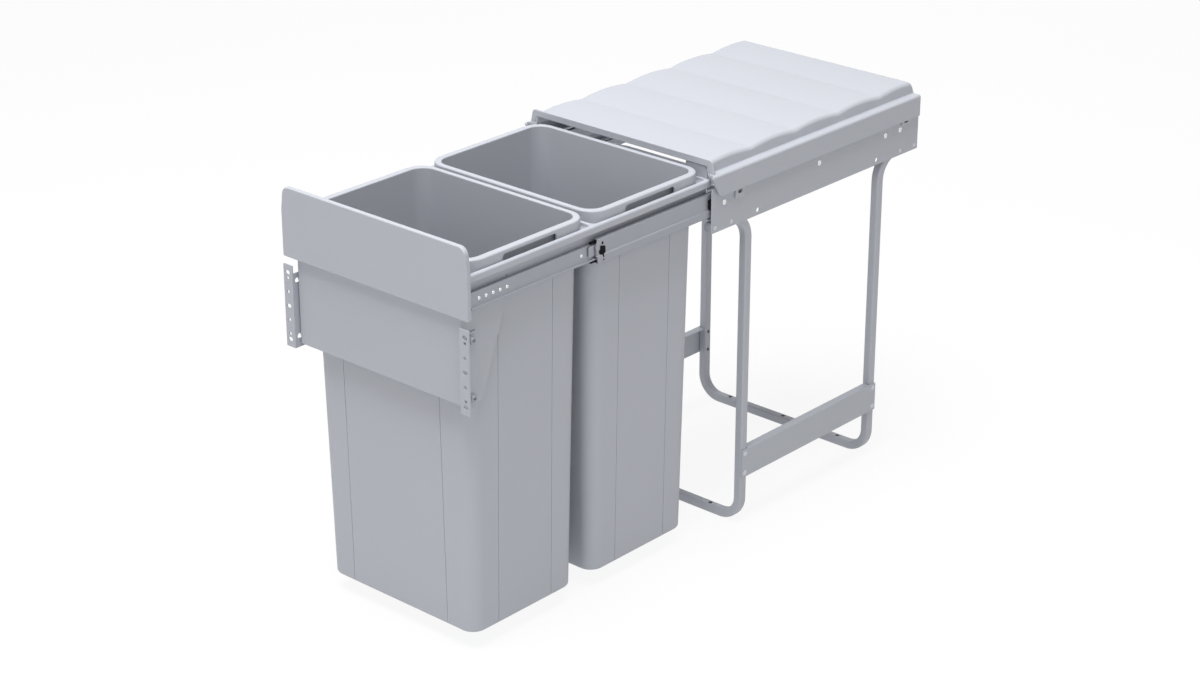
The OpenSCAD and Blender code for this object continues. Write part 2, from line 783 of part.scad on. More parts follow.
// Balls of one race, on both of its rows
module ball_rows(mid_y, x, z, d) {
    step = cage_len / ball_n;
    for (sz = [-1, 1], i = [0:ball_n - 1])
        translate([x, mid_y - cage_len / 2 + (i + 0.5) * step, slide_z + sz * z]) sphere(d = d);
}

// The two strips of one cage, bored for its balls
module cage(mid_y, x, z, d) {
    step = cage_len / ball_n;
    half_w = d / 2 + cage_edge;
    difference() {
        for (sz = [-1, 1])
            block([x - half_w, mid_y - cage_len / 2, slide_z + sz * z - cage_t / 2],
                  [x + half_w, mid_y + cage_len / 2, slide_z + sz * z + cage_t / 2]);
        for (sz = [-1, 1], i = [0:ball_n - 1])
            translate([x, mid_y - cage_len / 2 + (i + 0.5) * step, slide_z + sz * z])
                cylinder(h = 3 * cage_t, d = d + 2 * ball_play, center = true);
    }
}

// Buffer ahead of an outer rail's web, which the front panel meets
module rail_bumper() {
    block([rail_x - rail_t - web_gap + bumper_fit, -plate_len / 2 - bumper_out, slide_z - bumper_h / 2],
          [rail_x, -slide_len / 2, slide_z + bumper_h / 2]);
}

module outer_rail_left() {
    color(zinc) on_side(-1) outer_rail();
}

module outer_rail_right() {
    color(zinc) on_side(1) outer_rail();
}

module rail_bumper_left() {
    color(black) on_side(-1) rail_bumper();
}

module rail_bumper_right() {
    color(black) on_side(1) rail_bumper();
}

module middle_rail_left() {
    color(zinc) on_side(-1) middle_rail();
}

module middle_rail_right() {
    color(zinc) on_side(1) middle_rail();
}

module outer_cage_left() {
    color(bright) on_side(-1) cage(outer_cage_y, outer_ball_x, outer_ball_z, outer_ball_d);
}

module outer_cage_right() {
    color(bright) on_side(1) cage(outer_cage_y, outer_ball_x, outer_ball_z, outer_ball_d);
}

module outer_balls() {
    color(bright) both_sides() ball_rows(outer_cage_y, outer_ball_x, outer_ball_z, outer_ball_d);
}

module inner_cage_left() {
    color(bright) on_side(-1) cage(inner_cage_y, inner_ball_x, inner_ball_z, inner_ball_d);
}

module inner_cage_right() {
    color(bright) on_side(1) cage(inner_cage_y, inner_ball_x, inner_ball_z, inner_ball_d);
}

module inner_balls() {
    color(bright) both_sides() ball_rows(inner_cage_y, inner_ball_x, inner_ball_z, inner_ball_d);
}

module inner_rail_left() {
    color(zinc) on_side(-1) inner_rail();
}

module inner_rail_right() {
    color(zinc) on_side(1) inner_rail();
}

module rail_catch_left() {
    color(black) on_side(-1) rail_catch();
}

module rail_catch_right() {
    color(black) on_side(1) rail_catch();
}

module rail_rivets() {
    color(bright) both_sides() {
        for (y = wing_rivet_ys)
            rivet(wing_x - sheet_t, inner_web_x, small_rivet_d, small_head_d, y, small_rivet_z);
        for (y = ring_rivet_ys)
            rivet(ring_in_x, inner_web_x, small_rivet_d, small_head_d, y, small_rivet_z);
    }
}

// Carrier frame: a ring with two openings, a ridge round the bins' rims and a cross bar

// A bin's outline at the carrier, grown at its sides and at its ends
module bin_outline(side, end, y) {
    translate([0, y]) rounded_rect(2 * (bin_x + side), bin_len + 2 * end, bin_r + end);
}

module carrier_wall() {
    translate([0, ring_mid_y, ring_z]) linear_extrude(ridge_z + EPS - ring_z)
        difference() {
            rounded_rect(2 * wing_x, ring_len, ring_r);
            rounded_rect(2 * ring_in_x, ring_len - 2 * ring_t, ring_r - ring_t);
        }
}

module carrier_deck() {
    translate([0, 0, ridge_z]) linear_extrude(ridge_h)
        translate([0, ring_mid_y]) rounded_rect(2 * ridge_x, ring_len, ring_r);
    bar_w = bin_pitch - bin_len - 2 * bin_fit;
    block([-ring_in_x - EPS, ring_mid_y - bar_w / 2, ridge_z - bar_drop],
          [ring_in_x + EPS, ring_mid_y + bar_w / 2, ridge_z + EPS]);
}

module carrier_frame() {
    wing_y = front_y + wing_len + rim_fit;
    color(silver_grey) difference() {
        union() {
            carrier_wall();
            carrier_deck();
        }
        for (y = [front_bin_y, rear_bin_y]) {
            translate([0, 0, ridge_z - bar_drop - 1]) linear_extrude(bar_drop + ridge_h + 2) bin_outline(bin_fit, bin_fit, y);
            translate([0, 0, seat_z]) linear_extrude(ridge_h) bin_outline(rim_side + rim_fit, rim_end + rim_fit, y);
        }
        both_sides() {
            block([wing_x - sheet_t - rim_fit, ring_y - 1, ring_z - 1], [wing_x + 1, wing_y, wing_top]);
            block([ring_in_x - 1, ring_y + ring_t, ring_z - 1], [wing_x + 1, wing_y, wing_top]);
            for (y = ring_rivet_ys)
                rod_x(ring_in_x - 1, wing_x + 1, small_rivet_d + 2 * shank_fit, y, small_rivet_z);
        }
        for (x = panel_screw_xs)
            rod_y(ring_y - 1, ring_y + ring_t + 1, screw_d + 2 * shank_fit, x, slide_z);
    }
}

// Front plate: a bent sheet whose wings carry the carrier and the door brackets

module front_fold(half, y0, r) {
    far = front_y + wing_len + 2 * r;
    translate([0, y0 + far / 2 - y0 / 2]) rounded_rect(2 * half, far - y0, r);
}

module wing_profile() {
    polygon([
        [front_y, front_z],
        [front_y + wing_foot, front_z],
        [front_y + wing_foot + wing_chamfer_len, front_z + wing_chamfer_h],
        [front_y + wing_len, slide_z - wing_step],
        [front_y + wing_len, wing_top],
        [front_y + sheet_t, wing_top],
        [front_y + sheet_t, front_top],
        [front_y, front_top]
    ]);
}

module front_plate() {
    color(silver_grey) difference() {
        intersection() {
            translate([0, 0, front_z]) linear_extrude(front_top - front_z)
                difference() {
                    front_fold(wing_x, front_y, sheet_bend_r);
                    front_fold(wing_x - sheet_t, front_y + sheet_t, sheet_bend_r - sheet_t);
                }
            along_x(-wing_x - 1, wing_x + 1) wing_profile();
        }
        for (x = panel_screw_xs)
            rod_y(front_y - 1, ring_y + 1, screw_d + 2 * shank_fit, x, slide_z);
        both_sides() {
            for (z = bracket_screw_zs)
                rod_x(wing_x - sheet_t - 1, wing_x + 1, screw_d + 2 * shank_fit, screw_y, z);
            for (y = wing_rivet_ys)
                rod_x(wing_x - sheet_t - 1, wing_x + 1, small_rivet_d + 2 * shank_fit, y, small_rivet_z);
        }
    }
}

// Front panel: a moulded cap with a rim and bosses that stand on the front plate

// Right half of the panel's outline, moved in by a wall
function panel_half(wall) =
    let (w = panel_w / 2 - wall)
    let (z0 = panel_z + wall)
    let (top = panel_z + panel_h - wall)
    let (kink = panel_z + panel_side_h)
    let (tilt = atan2(panel_lean, panel_z + panel_h - kink))
    let (r = panel_r - wall)
    let (cz = top - r)
    let (cx = w - (cz - kink) * tan(tilt) - r / cos(tilt))
    concat([[w, z0], [w, kink]], [for (k = [0:8]) let (a = tilt + k * (90 - tilt) / 8) [cx + r * cos(a), cz + r * sin(a)]]);

module panel_outline(wall) {
    half = panel_half(wall);
    n = len(half);
    polygon(concat(half, [for (k = [1:n]) [-half[n - k][0], half[n - k][1]]]));
}

module front_panel() {
    color(silver_grey) difference() {
        union() {
            difference() {
                along_y(panel_y, panel_back_y) panel_outline(0);
                along_y(panel_y + panel_t, panel_back_y + 1) panel_outline(panel_t);
            }
            for (x = panel_screw_xs)
                rod_y(panel_y + panel_t / 2, front_y, boss_d, x, slide_z);
        }
        for (x = panel_screw_xs)
            rod_y(panel_y + panel_t, front_y + 1, screw_d + 2 * shank_fit, x, slide_z);
    }
}

// Screws through the carrier and the front plate into the panel's bosses
module panel_screws() {
    back = ring_y + ring_t;
    color(bright) for (x = panel_screw_xs) {
        rod_y(panel_y + panel_t + shank_fit, back + EPS, screw_d, x, slide_z);
        rod_y(back, back + panel_head_h, screw_head_d, x, slide_z);
    }
}

// Door brackets with their screws and washers

module door_bracket() {
    web_x = wing_x + bracket_fit;
    slot_h = screw_d + 2 * slot_fit;
    slot_y0 = screw_y - slot_run;
    color(silver_grey) difference() {
        union() {
            block([web_x, bracket_y, bracket_z], [web_x + bracket_flange, bracket_y + sheet_t, bracket_z + bracket_h]);
            block([web_x, bracket_y, bracket_z],
                  [web_x + sheet_t, bracket_y + bracket_web, bracket_z + bracket_h - bracket_step]);
        }
        for (z = bracket_screw_zs) {
            for (y = [slot_y0, screw_y])
                rod_x(web_x - 1, web_x + sheet_t + 1, slot_h, y, z);
            block([web_x - 1, slot_y0, z - slot_h / 2], [web_x + sheet_t + 1, screw_y, z + slot_h / 2]);
        }
        hole_x = web_x + sheet_t + (bracket_flange - sheet_t) / 2;
        for (k = [-2, -1, 1, 2])
            rod_y(bracket_y - 1, bracket_y + sheet_t + 1, door_hole_d, hole_x, bracket_mid_z + k * door_hole_pitch);
        reach = (door_slot_len - door_slot_h) / 2;
        for (k = [-1, 0, 1]) {
            z = bracket_mid_z + k * door_slot_pitch;
            for (sx = [-1, 1])
                rod_y(bracket_y - 1, bracket_y + sheet_t + 1, door_slot_h, hole_x + sx * reach, z);
            block([hole_x - reach, bracket_y - 1, z - door_slot_h / 2],
                  [hole_x + reach, bracket_y + sheet_t + 1, z + door_slot_h / 2]);
        }
    }
}

module door_bracket_left() {
    on_side(-1) door_bracket();
}

module door_bracket_right() {
    on_side(1) door_bracket();
}

module bracket_washers() {
    x0 = wing_x + 2 * bracket_fit + sheet_t;
    color(bright) both_sides() for (z = bracket_screw_zs)
        difference() {
            rod_x(x0, x0 + washer_t, washer_d, screw_y, z);
            rod_x(x0 - 1, x0 + washer_t + 1, screw_d + 2 * shank_fit, screw_y, z);
        }
}

module bracket_screws() {
    x0 = wing_x + 2 * bracket_fit + sheet_t + washer_t;
    color(bright) both_sides() for (z = bracket_screw_zs) {
        rod_x(wing_x - sheet_t, x0 + EPS, screw_d, screw_y, z);
        rod_x(x0, x0 + screw_head_h, screw_head_d, screw_y, z);
    }
}

// Bins: tapered boxes with a turned-over rim, hand slots and shallow raised fields

module bin_taper(inset, z0) {
    foot = bin_draw * (seat_z - z0) / body_h;
    hull() {
        translate([0, 0, z0]) linear_extrude(EPS)
            rounded_rect(2 * (bin_x - foot - inset), bin_len - 2 * (foot + inset), bin_foot_r - inset, $fn = 32);
        translate([0, 0, rim_top - EPS]) linear_extrude(EPS)
            rounded_rect(2 * (bin_x - inset), bin_len - 2 * inset, bin_r - inset, $fn = 32);
    }
}

// A raised field on one wall, drawn as the wall's slope and extruded along the wall
module field_outline(top_half) {
    z1 = ring_z - field_gap;
    foot_x = top_half - bin_draw;
    mid_x = top_half - bin_draw * (rim_top - z1) / (rim_top - bin_z);
    polygon([
        [foot_x - bin_wall / 2, bin_z], [foot_x + field_t, bin_z],
        [mid_x + field_t, z1], [mid_x - bin_wall / 2, z1]
    ]);
}

module bin_fields() {
    for (turn = [0, 180])
        rotate([0, 0, turn]) {
            along_y(-field_side_w / 2, field_side_w / 2) field_outline(bin_x);
            rotate([0, 0, 90]) along_y(-field_front_w / 2, field_front_w / 2) field_outline(bin_len / 2);
        }
}

module bin_rim() {
    difference() {
        translate([0, 0, rim_z]) linear_extrude(rim_h) bin_outline(rim_side, rim_end, 0);
        translate([0, 0, rim_z - 1]) linear_extrude(rim_h - rim_t + 1)
            bin_outline(rim_side - rim_t, rim_end - rim_t, 0);
        translate([0, 0, rim_z - 1]) linear_extrude(rim_h + 2) bin_outline(-bin_wall, -bin_wall, 0);
        block([-rim_x - 1, -hand_len / 2, rim_z - 1], [rim_x + 1, hand_len / 2, rim_z + hand_h]);
    }
}

module bin() {
    difference() {
        union() {
            bin_taper(0, bin_z);
            bin_fields();
        }
        bin_taper(bin_wall, bin_z + bin_floor);
        translate([0, 0, rim_top - rim_t]) linear_extrude(2 * rim_t) bin_outline(-bin_wall, -bin_wall, 0);
    }
    bin_rim();
}

module front_bin() {
    color(silver_grey) translate([0, front_bin_y, 0]) bin();
}

module rear_bin() {
    color(silver_grey) translate([0, rear_bin_y, 0]) bin();
}

side_plate_left();
side_plate_right();
front_leg();
rear_leg();
stretcher_left();
stretcher_right();
stretcher_rivets();
plate_rivets();
cover();
outer_rail_left();
outer_rail_right();
rail_bumper_left();
rail_bumper_right();
middle_rail_left();
middle_rail_right();
rail_catch_left();
rail_catch_right();
outer_cage_left();
outer_cage_right();
outer_balls();
inner_cage_left();
inner_cage_right();
inner_balls();
inner_rail_left();
inner_rail_right();
rail_rivets();
carrier_frame();
front_plate();
front_panel();
panel_screws();
bracket_screws();
bracket_washers();
door_bracket_left();
door_bracket_right();
front_bin();
rear_bin();
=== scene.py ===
# Pull-out bin frame for a narrow base cabinet, shown fully pulled out.
# A bent-tube frame under a moulded cover carries ball slides; a carrier on them holds two loose bins.
import math

import bmesh
import bpy
from mathutils import Matrix, Vector


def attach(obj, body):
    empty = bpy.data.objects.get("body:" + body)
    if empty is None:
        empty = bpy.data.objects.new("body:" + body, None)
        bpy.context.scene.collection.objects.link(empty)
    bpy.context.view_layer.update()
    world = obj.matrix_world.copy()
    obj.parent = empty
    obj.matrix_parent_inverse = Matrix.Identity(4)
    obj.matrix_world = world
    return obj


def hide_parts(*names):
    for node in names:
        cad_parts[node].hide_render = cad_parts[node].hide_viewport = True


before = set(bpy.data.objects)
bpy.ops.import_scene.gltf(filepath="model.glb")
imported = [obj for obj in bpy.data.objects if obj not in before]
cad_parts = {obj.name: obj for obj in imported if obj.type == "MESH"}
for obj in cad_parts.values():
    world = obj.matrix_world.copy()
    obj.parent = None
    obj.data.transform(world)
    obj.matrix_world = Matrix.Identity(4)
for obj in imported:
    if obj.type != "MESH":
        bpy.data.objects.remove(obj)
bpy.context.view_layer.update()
scene = bpy.context.scene
scene.view_settings.view_transform = "Standard"

# Camera: a long lens at the front right, a little above the frame, as in the photograph.
# It stands about three metres away, looks down at a shallow angle and isn't tilted sideways.
MM = 0.001
AZIMUTH = math.radians(41.87)
ELEVATION = math.radians(23.42)
PHOTO_W = 1200
FOCAL_PX = 2688
SENSOR_W = 36
LOOK_OFFSET = Vector((-18.6, 188.4, 2967.4)) * MM
LOOK_ORIGIN = Vector((0, -180, 0)) * MM

level = math.cos(ELEVATION)
back = Vector((math.sin(AZIMUTH) * level, -math.cos(AZIMUTH) * level, math.sin(ELEVATION)))
right = Vector((math.cos(AZIMUTH), math.sin(AZIMUTH), 0))
turn = Matrix((right, back.cross(right), back)).transposed()
camera = bpy.data.objects.new("camera", bpy.data.cameras.new("camera"))
camera.data.sensor_width = SENSOR_W
camera.data.lens = FOCAL_PX / PHOTO_W * SENSOR_W
camera.matrix_world = Matrix.Translation(LOOK_ORIGIN + turn @ LOOK_OFFSET) @ turn.to_4x4()
scene.collection.objects.link(camera)
scene.camera = camera

# Studio: a white room whose light falls evenly, with a broad softbox overhead and weak ones in front, right
# and behind. The camera and the polished pieces see the room as plain white, and it lights matt surfaces
# with its dimmed light. The softbox behind gives no shine on the cover.
AMBIENT = 0.30
# name, place, aim and side in metres, power in watts
SOFTBOXES = [
    ("overhead softbox", (0.05, -0.75, 2.75), (0, -0.2, 0.3), 1.8, 84),
    ("front softbox", (0.5, -3.1, 1.0), (0, -0.2, 0.25), 1.6, 9),
    ("right softbox", (2.6, -1.3, 2.0), (0, -0.1, 0.2), 1.6, 10),
    ("back softbox", (-1.6, 2.9, 1.2), (0, -0.1, 0.25), 1.6, 12),
]


class Shade:
    """A value in a node tree. Arithmetic on it adds Math nodes."""

    def __init__(self, nodes, socket):
        self.nodes = nodes
        self.socket = socket

    def math(self, operation, first, second):
        return self.nodes.node("ShaderNodeMath", {"operation": operation}, {0: first, 1: second})

    def __add__(self, other):
        return self.math("ADD", self, other)

    def __radd__(self, other):
        return self.math("ADD", other, self)

    def __sub__(self, other):
        return self.math("SUBTRACT", self, other)

    def __rsub__(self, other):
        return self.math("SUBTRACT", other, self)

    def __mul__(self, other):
        return self.math("MULTIPLY", self, other)

    def __rmul__(self, other):
        return self.math("MULTIPLY", other, self)


class Nodes:
    """A node tree that grows by one node at a time."""

    def __init__(self, tree):
        self.tree = tree

    def node(self, kind, settings, values, output=0):
        """A new node's output. Its settings are made first; its sockets take values or other outputs."""
        made = self.tree.nodes.new(kind)
        for setting, value in settings.items():
            setattr(made, setting, value)
        for socket, value in values.items():
            self.join(made.inputs[socket], value)
        return Shade(self, made.outputs[output])

    def join(self, socket, value):
        if isinstance(value, Shade):
            self.tree.links.new(value.socket, socket)
        else:
            socket.default_value = value


world = bpy.data.worlds.new("white room")
world.use_nodes = True
scene.world = world
room = Nodes(world.node_tree)
from_camera, from_gloss, through_glass = (
    room.node("ShaderNodeLightPath", {}, {}, f"Is {kind} Ray")
    for kind in ("Camera", "Glossy", "Transmission")
)
matt = (1 - from_camera) * (1 - from_gloss) * (1 - through_glass)
background = room.tree.nodes["Background"]
room.join(background.inputs["Color"], (1, 1, 1, 1))
room.join(background.inputs["Strength"], 1 - matt * (1 - AMBIENT))

for name, at, aim, side, power in SOFTBOXES:
    lamp = bpy.data.objects.new(name, bpy.data.lights.new(name, "AREA"))
    lamp.data.size = side
    lamp.data.energy = power
    lamp.location = at
    lamp.visible_glossy = name != "back softbox"
    lamp.rotation_euler = (Vector(aim) - Vector(at)).to_track_quat("-Z", "Y").to_euler()
    scene.collection.objects.link(lamp)

# Legs: each is one square steel tube, bent into a foot bar, two uprights and two short ends against the side
# plates. They are powder coated silver-grey, with a faint orange-peel texture, and drilled for floor screws.
COAT_COLOUR = (0.455, 0.472, 0.515)
COAT_SHADE = (0.425, 0.442, 0.484)
TUBE_W = 10
TUBE_WALL = 1.2
TUBE_R = 2
LEG_X = 120.8
LEG_Y = 115
LEG_END_Y = 177
LEG_END_Z = 361.5
TOP_BEND_R = 28
FOOT_BEND_R = 25
BEND_STEPS = 12
FOOT_HOLE_XS = (-80, 0, 80)
FOOT_HOLE_R = 2.5
STRETCHER_RIVET_ZS = (61.5, 84.5)
RIVET_HOLE_R = 2.05
EDGE_ANGLE = math.radians(38)
CORNER_STEPS = 10


class Finish(Nodes):
    """One material: a principled shader whose colour, roughness and bump come from nodes."""

    def __init__(self, name, **fixed):
        self.material = bpy.data.materials.new(name)
        self.material.use_nodes = True
        super().__init__(self.material.node_tree)
        self.shader = self.tree.nodes["Principled BSDF"]
        for words, value in fixed.items():
            socket = words.replace("_", " ").title().replace("Ior", "IOR")
            self.shader.inputs[socket].default_value = value

    def place(self, stretch=(1, 1, 1)):
        """Where a point lies on the piece, in metres, drawn out along the axes."""
        where = self.node("ShaderNodeTexCoord", {}, {}, "Object")
        return self.node("ShaderNodeMapping", {}, {"Vector": where, "Scale": stretch})

    def cloud(self, scale, detail, stretch=(1, 1, 1)):
        """Soft noise with about as many spots to the metre as the scale says."""
        values = {"Vector": self.place(stretch), "Scale": scale, "Detail": detail, "Roughness": 0.55}
        return self.node("ShaderNodeTexNoise", {}, values)

    def colour(self, amount, low, high):
        """Base colour between two colours. A Mix of colours has them at sockets 6 and 7, and output 2."""
        values = {0: amount, 6: (*low, 1), 7: (*high, 1)}
        mixed = self.node("ShaderNodeMix", {"data_type": "RGBA"}, values, 2)
        self.join(self.shader.inputs["Base Color"], mixed)

    def rough(self, amount):
        self.join(self.shader.inputs["Roughness"], amount)

    def bump(self, height, depth):
        """Relief from a height between 0 and 1, with its depth in metres."""
        values = {"Height": height, "Strength": 1.0, "Distance": depth}
        self.join(self.shader.inputs["Normal"], self.node("ShaderNodeBump", {}, values))


powder_coat = Finish("silver grey powder coat", metallic=0.0, specular_ior_level=0.45)
peel = powder_coat.cloud(scale=420, detail=2)
blotch = powder_coat.cloud(scale=9, detail=3)
powder_coat.colour(blotch * 0.6 + peel * 0.4, COAT_SHADE, COAT_COLOUR)
powder_coat.rough(0.36 + peel * 0.16)
powder_coat.bump(peel, depth=0.00012)


def piece(name, mesh, finish, body, replaced=()):
    """A named piece of the object: its finish, the body it moves with and the CAD nodes it stands for."""
    made = bpy.data.objects.new(name, mesh)
    scene.collection.objects.link(made)
    mesh.materials.clear()
    mesh.materials.append(finish.material)
    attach(made, body)
    if replaced:
        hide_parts(*replaced)
    return made


def evaluated(made):
    """The plain mesh that an object's modifiers give. The object itself is removed."""
    bpy.context.view_layer.update()
    mesh = bpy.data.meshes.new_from_object(made.evaluated_get(bpy.context.evaluated_depsgraph_get()))
    bpy.data.objects.remove(made)
    return mesh


def smoothed(mesh):
    """A mesh shaded smooth over its rounded edges, with its broad faces left flat."""
    mesh.shade_smooth()
    mesh.set_sharp_from_angle(angle=EDGE_ANGLE)
    made = bpy.data.objects.new("smoothing", mesh)
    scene.collection.objects.link(made)
    flat = made.modifiers.new("flat faces", "WEIGHTED_NORMAL")
    flat.mode = "FACE_AREA"
    flat.weight = 100
    flat.keep_sharp = True
    return evaluated(made)


def quarter_turn(steps):
    """Angles through a quarter turn, in equal steps."""
    return [k / steps * math.pi / 2 for k in range(steps + 1)]


def rounded_rect(half_x, half_y, r, mid_y):
    """Points round a rectangle with round corners, centred on x = 0 and mid_y."""
    loop = []
    for k, (sx, sy) in enumerate(((1, -1), (1, 1), (-1, 1), (-1, -1))):
        for n in range(CORNER_STEPS + 1):
            a = (k - 1 + n / CORNER_STEPS) * math.pi / 2
            x = sx * (half_x - r) + r * math.cos(a)
            y = mid_y + sy * (half_y - r) + r * math.sin(a)
            loop.append((x, y))
    return loop


def cut(mesh, tools):
    """A mesh with each tool's shape cut out of it."""
    made = bpy.data.objects.new("cutting", mesh)
    scene.collection.objects.link(made)
    holders = []
    for tool in tools:
        holder = bpy.data.objects.new("tool", tool)
        scene.collection.objects.link(holder)
        step = made.modifiers.new("cut", "BOOLEAN")
        step.operation = "DIFFERENCE"
        step.solver = "EXACT"
        step.object = holder
        holders.append(holder)
    result = evaluated(made)
    for holder in holders:
        bpy.data.objects.remove(holder)
    return smoothed(result)


def drill(r, at, axis, length):
    """A round cutter about a point, along an axis."""
    turn = Vector((0, 0, 1)).rotation_difference(Vector(axis)).to_matrix().to_4x4()
    place = Matrix.Translation(Vector(at) * MM) @ turn
    work = bmesh.new()
    bmesh.ops.create_cone(
        work, cap_ends=True, segments=24, radius1=r * MM, radius2=r * MM, depth=length * MM, matrix=place,
    )
    mesh = bpy.data.meshes.new("drill")
    work.to_mesh(mesh)
    work.free()
    return mesh


def bent_path(corners, bends):
    """Points and headings along a tube's centre line. Each inner corner has a bend of its own radius."""
    corners = [Vector(corner) for corner in corners]
    headings = [(b - a).normalized() for a, b in zip(corners, corners[1:])]
    path = [(corners[0], headings[0])]
    for corner, into, away, r in zip(corners[1:], headings, headings[1:], bends):
        for a in quarter_turn(BEND_STEPS):
            at = corner - into * r + (into * math.sin(a) + away * (1 - math.cos(a))) * r
            path.append((at, into * math.cos(a) + away * math.sin(a)))
    return path + [(corners[-1], headings[-1])]


def bent_tube(path, sections):
    """A hollow tube along a path: sections are its outside and its bore, with as many points each."""
    work = bmesh.new()
    across, before = Vector((1, 0, 0)), path[0][1]
    rows = []
    for at, heading in path:
        across = before.rotation_difference(heading) @ across
        before = heading
        up = heading.cross(across)
        rows.append([
            [work.verts.new((at + across * a + up * b) * MM) for a, b in loop] for loop in sections
        ])
    count = len(sections[0])
    for k in range(count):
        j = (k + 1) % count
        for near, far in zip(rows, rows[1:]):
            for n, f in zip(near, far):
                work.faces.new((n[k], n[j], f[j], f[k]))
        for outside, bore in (rows[0], rows[-1]):
            work.faces.new((outside[k], outside[j], bore[j], bore[k]))
    bmesh.ops.recalc_face_normals(work, faces=work.faces)
    mesh = bpy.data.meshes.new("tube")
    work.to_mesh(mesh)
    work.free()
    return mesh


sections = [
    rounded_rect(TUBE_W / 2 - inset, TUBE_W / 2 - inset, TUBE_R - inset, 0) for inset in (0, TUBE_WALL)
]
for node, t in (("front_leg", -1), ("rear_leg", 1)):
    half = [
        (LEG_X, t * LEG_END_Y, LEG_END_Z), (LEG_X, t * LEG_Y, LEG_END_Z), (LEG_X, t * LEG_Y, TUBE_W / 2),
    ]
    corners = [(-x, y, z) for x, y, z in half] + half[::-1]
    tube = bent_tube(bent_path(corners, (TOP_BEND_R, FOOT_BEND_R, FOOT_BEND_R, TOP_BEND_R)), sections)
    drills = [drill(FOOT_HOLE_R, (x, t * LEG_Y, TUBE_W / 2), (0, 0, 1), 2 * TUBE_W) for x in FOOT_HOLE_XS]
    drills += [
        drill(RIVET_HOLE_R, (x, t * LEG_Y, z), (1, 0, 0), 2 * TUBE_W)
        for x in (-LEG_X, LEG_X) for z in STRETCHER_RIVET_ZS
    ]
    piece(node + "_tube", cut(tube, drills), powder_coat, "cabinet_frame", [node])

# Stretchers: steel strips with a flange along the top, which tie the front and rear legs together.
# Each end is held to its leg by a pair of domed rivets, whose heads have a paler coat as a painted highlight.
SIDES = (("left", -1), ("right", 1))
RAIL_X = 125.8
STRETCHER_T = 1.5
STRETCHER_EDGE = 0.4
RIVET_HEAD = [
    (0, -2.4), (2, -2.4), (2, 0), (3, 0), (3, 0.15), (2.75, 0.42), (2.2, 0.67), (1.3, 0.84), (0, 0.9),
]
STEEL_LOW = (0.66, 0.67, 0.69)
STEEL_HIGH = (0.86, 0.86, 0.87)
PAINTED_HIGHLIGHT_COAT_LOW = (0.56, 0.575, 0.615)
PAINTED_HIGHLIGHT_COAT_HIGH = (0.64, 0.655, 0.69)


def rounded(mesh, width, segments=2):
    """A mesh with its sharp edges rounded over, as bending, moulding or coating leaves them."""
    made = bpy.data.objects.new("rounding", mesh)
    scene.collection.objects.link(made)
    bevel = made.modifiers.new("edges", "BEVEL")
    bevel.width = width * MM
    bevel.segments = segments
    bevel.limit_method = "ANGLE"
    bevel.angle_limit = EDGE_ANGLE
    bevel.use_clamp_overlap = False
    bevel.loop_slide = False
    return smoothed(evaluated(made))


def softened(node, width, segments=2):
    """A copy of a CAD node's mesh, merged into whole faces and with its edges rounded, inside its own box."""
    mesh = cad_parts[node].data.copy()
    spans = [(min(values), max(values)) for values in zip(*(vertex.co for vertex in mesh.vertices))]
    work = bmesh.new()
    work.from_mesh(mesh)
    bmesh.ops.remove_doubles(work, verts=work.verts, dist=1e-6)
    bmesh.ops.dissolve_limit(work, angle_limit=math.radians(0.5), verts=work.verts, edges=work.edges)
    work.to_mesh(mesh)
    work.free()
    mesh = rounded(mesh, width, segments)
    for vertex in mesh.vertices:
        vertex.co = [min(max(value, low), high) for value, (low, high) in zip(vertex.co, spans)]
    return mesh


def lathe(outline, steps=24, start=0.0):
    """A closed turned shape about Z, from (radius, height) pairs that start and end on the axis."""
    work = bmesh.new()
    rings = []
    for r, z in outline:
        if r == 0:
            rings.append([work.verts.new((0, 0, z * MM))] * steps)
            continue
        angles = [start + 2 * math.pi * k / steps for k in range(steps)]
        points = [(r * MM * math.cos(a), r * MM * math.sin(a), z * MM) for a in angles]
        rings.append([work.verts.new(point) for point in points])
    for low, high in zip(rings, rings[1:]):
        for k in range(steps):
            j = (k + 1) % steps
            corners = list(dict.fromkeys((low[k], low[j], high[j], high[k])))
            work.faces.new(corners)
    bmesh.ops.recalc_face_normals(work, faces=work.faces)
    mesh = bpy.data.meshes.new("turned shape")
    work.to_mesh(mesh)
    work.free()
    mesh.shade_smooth()
    mesh.set_sharp_from_angle(angle=EDGE_ANGLE)
    return mesh


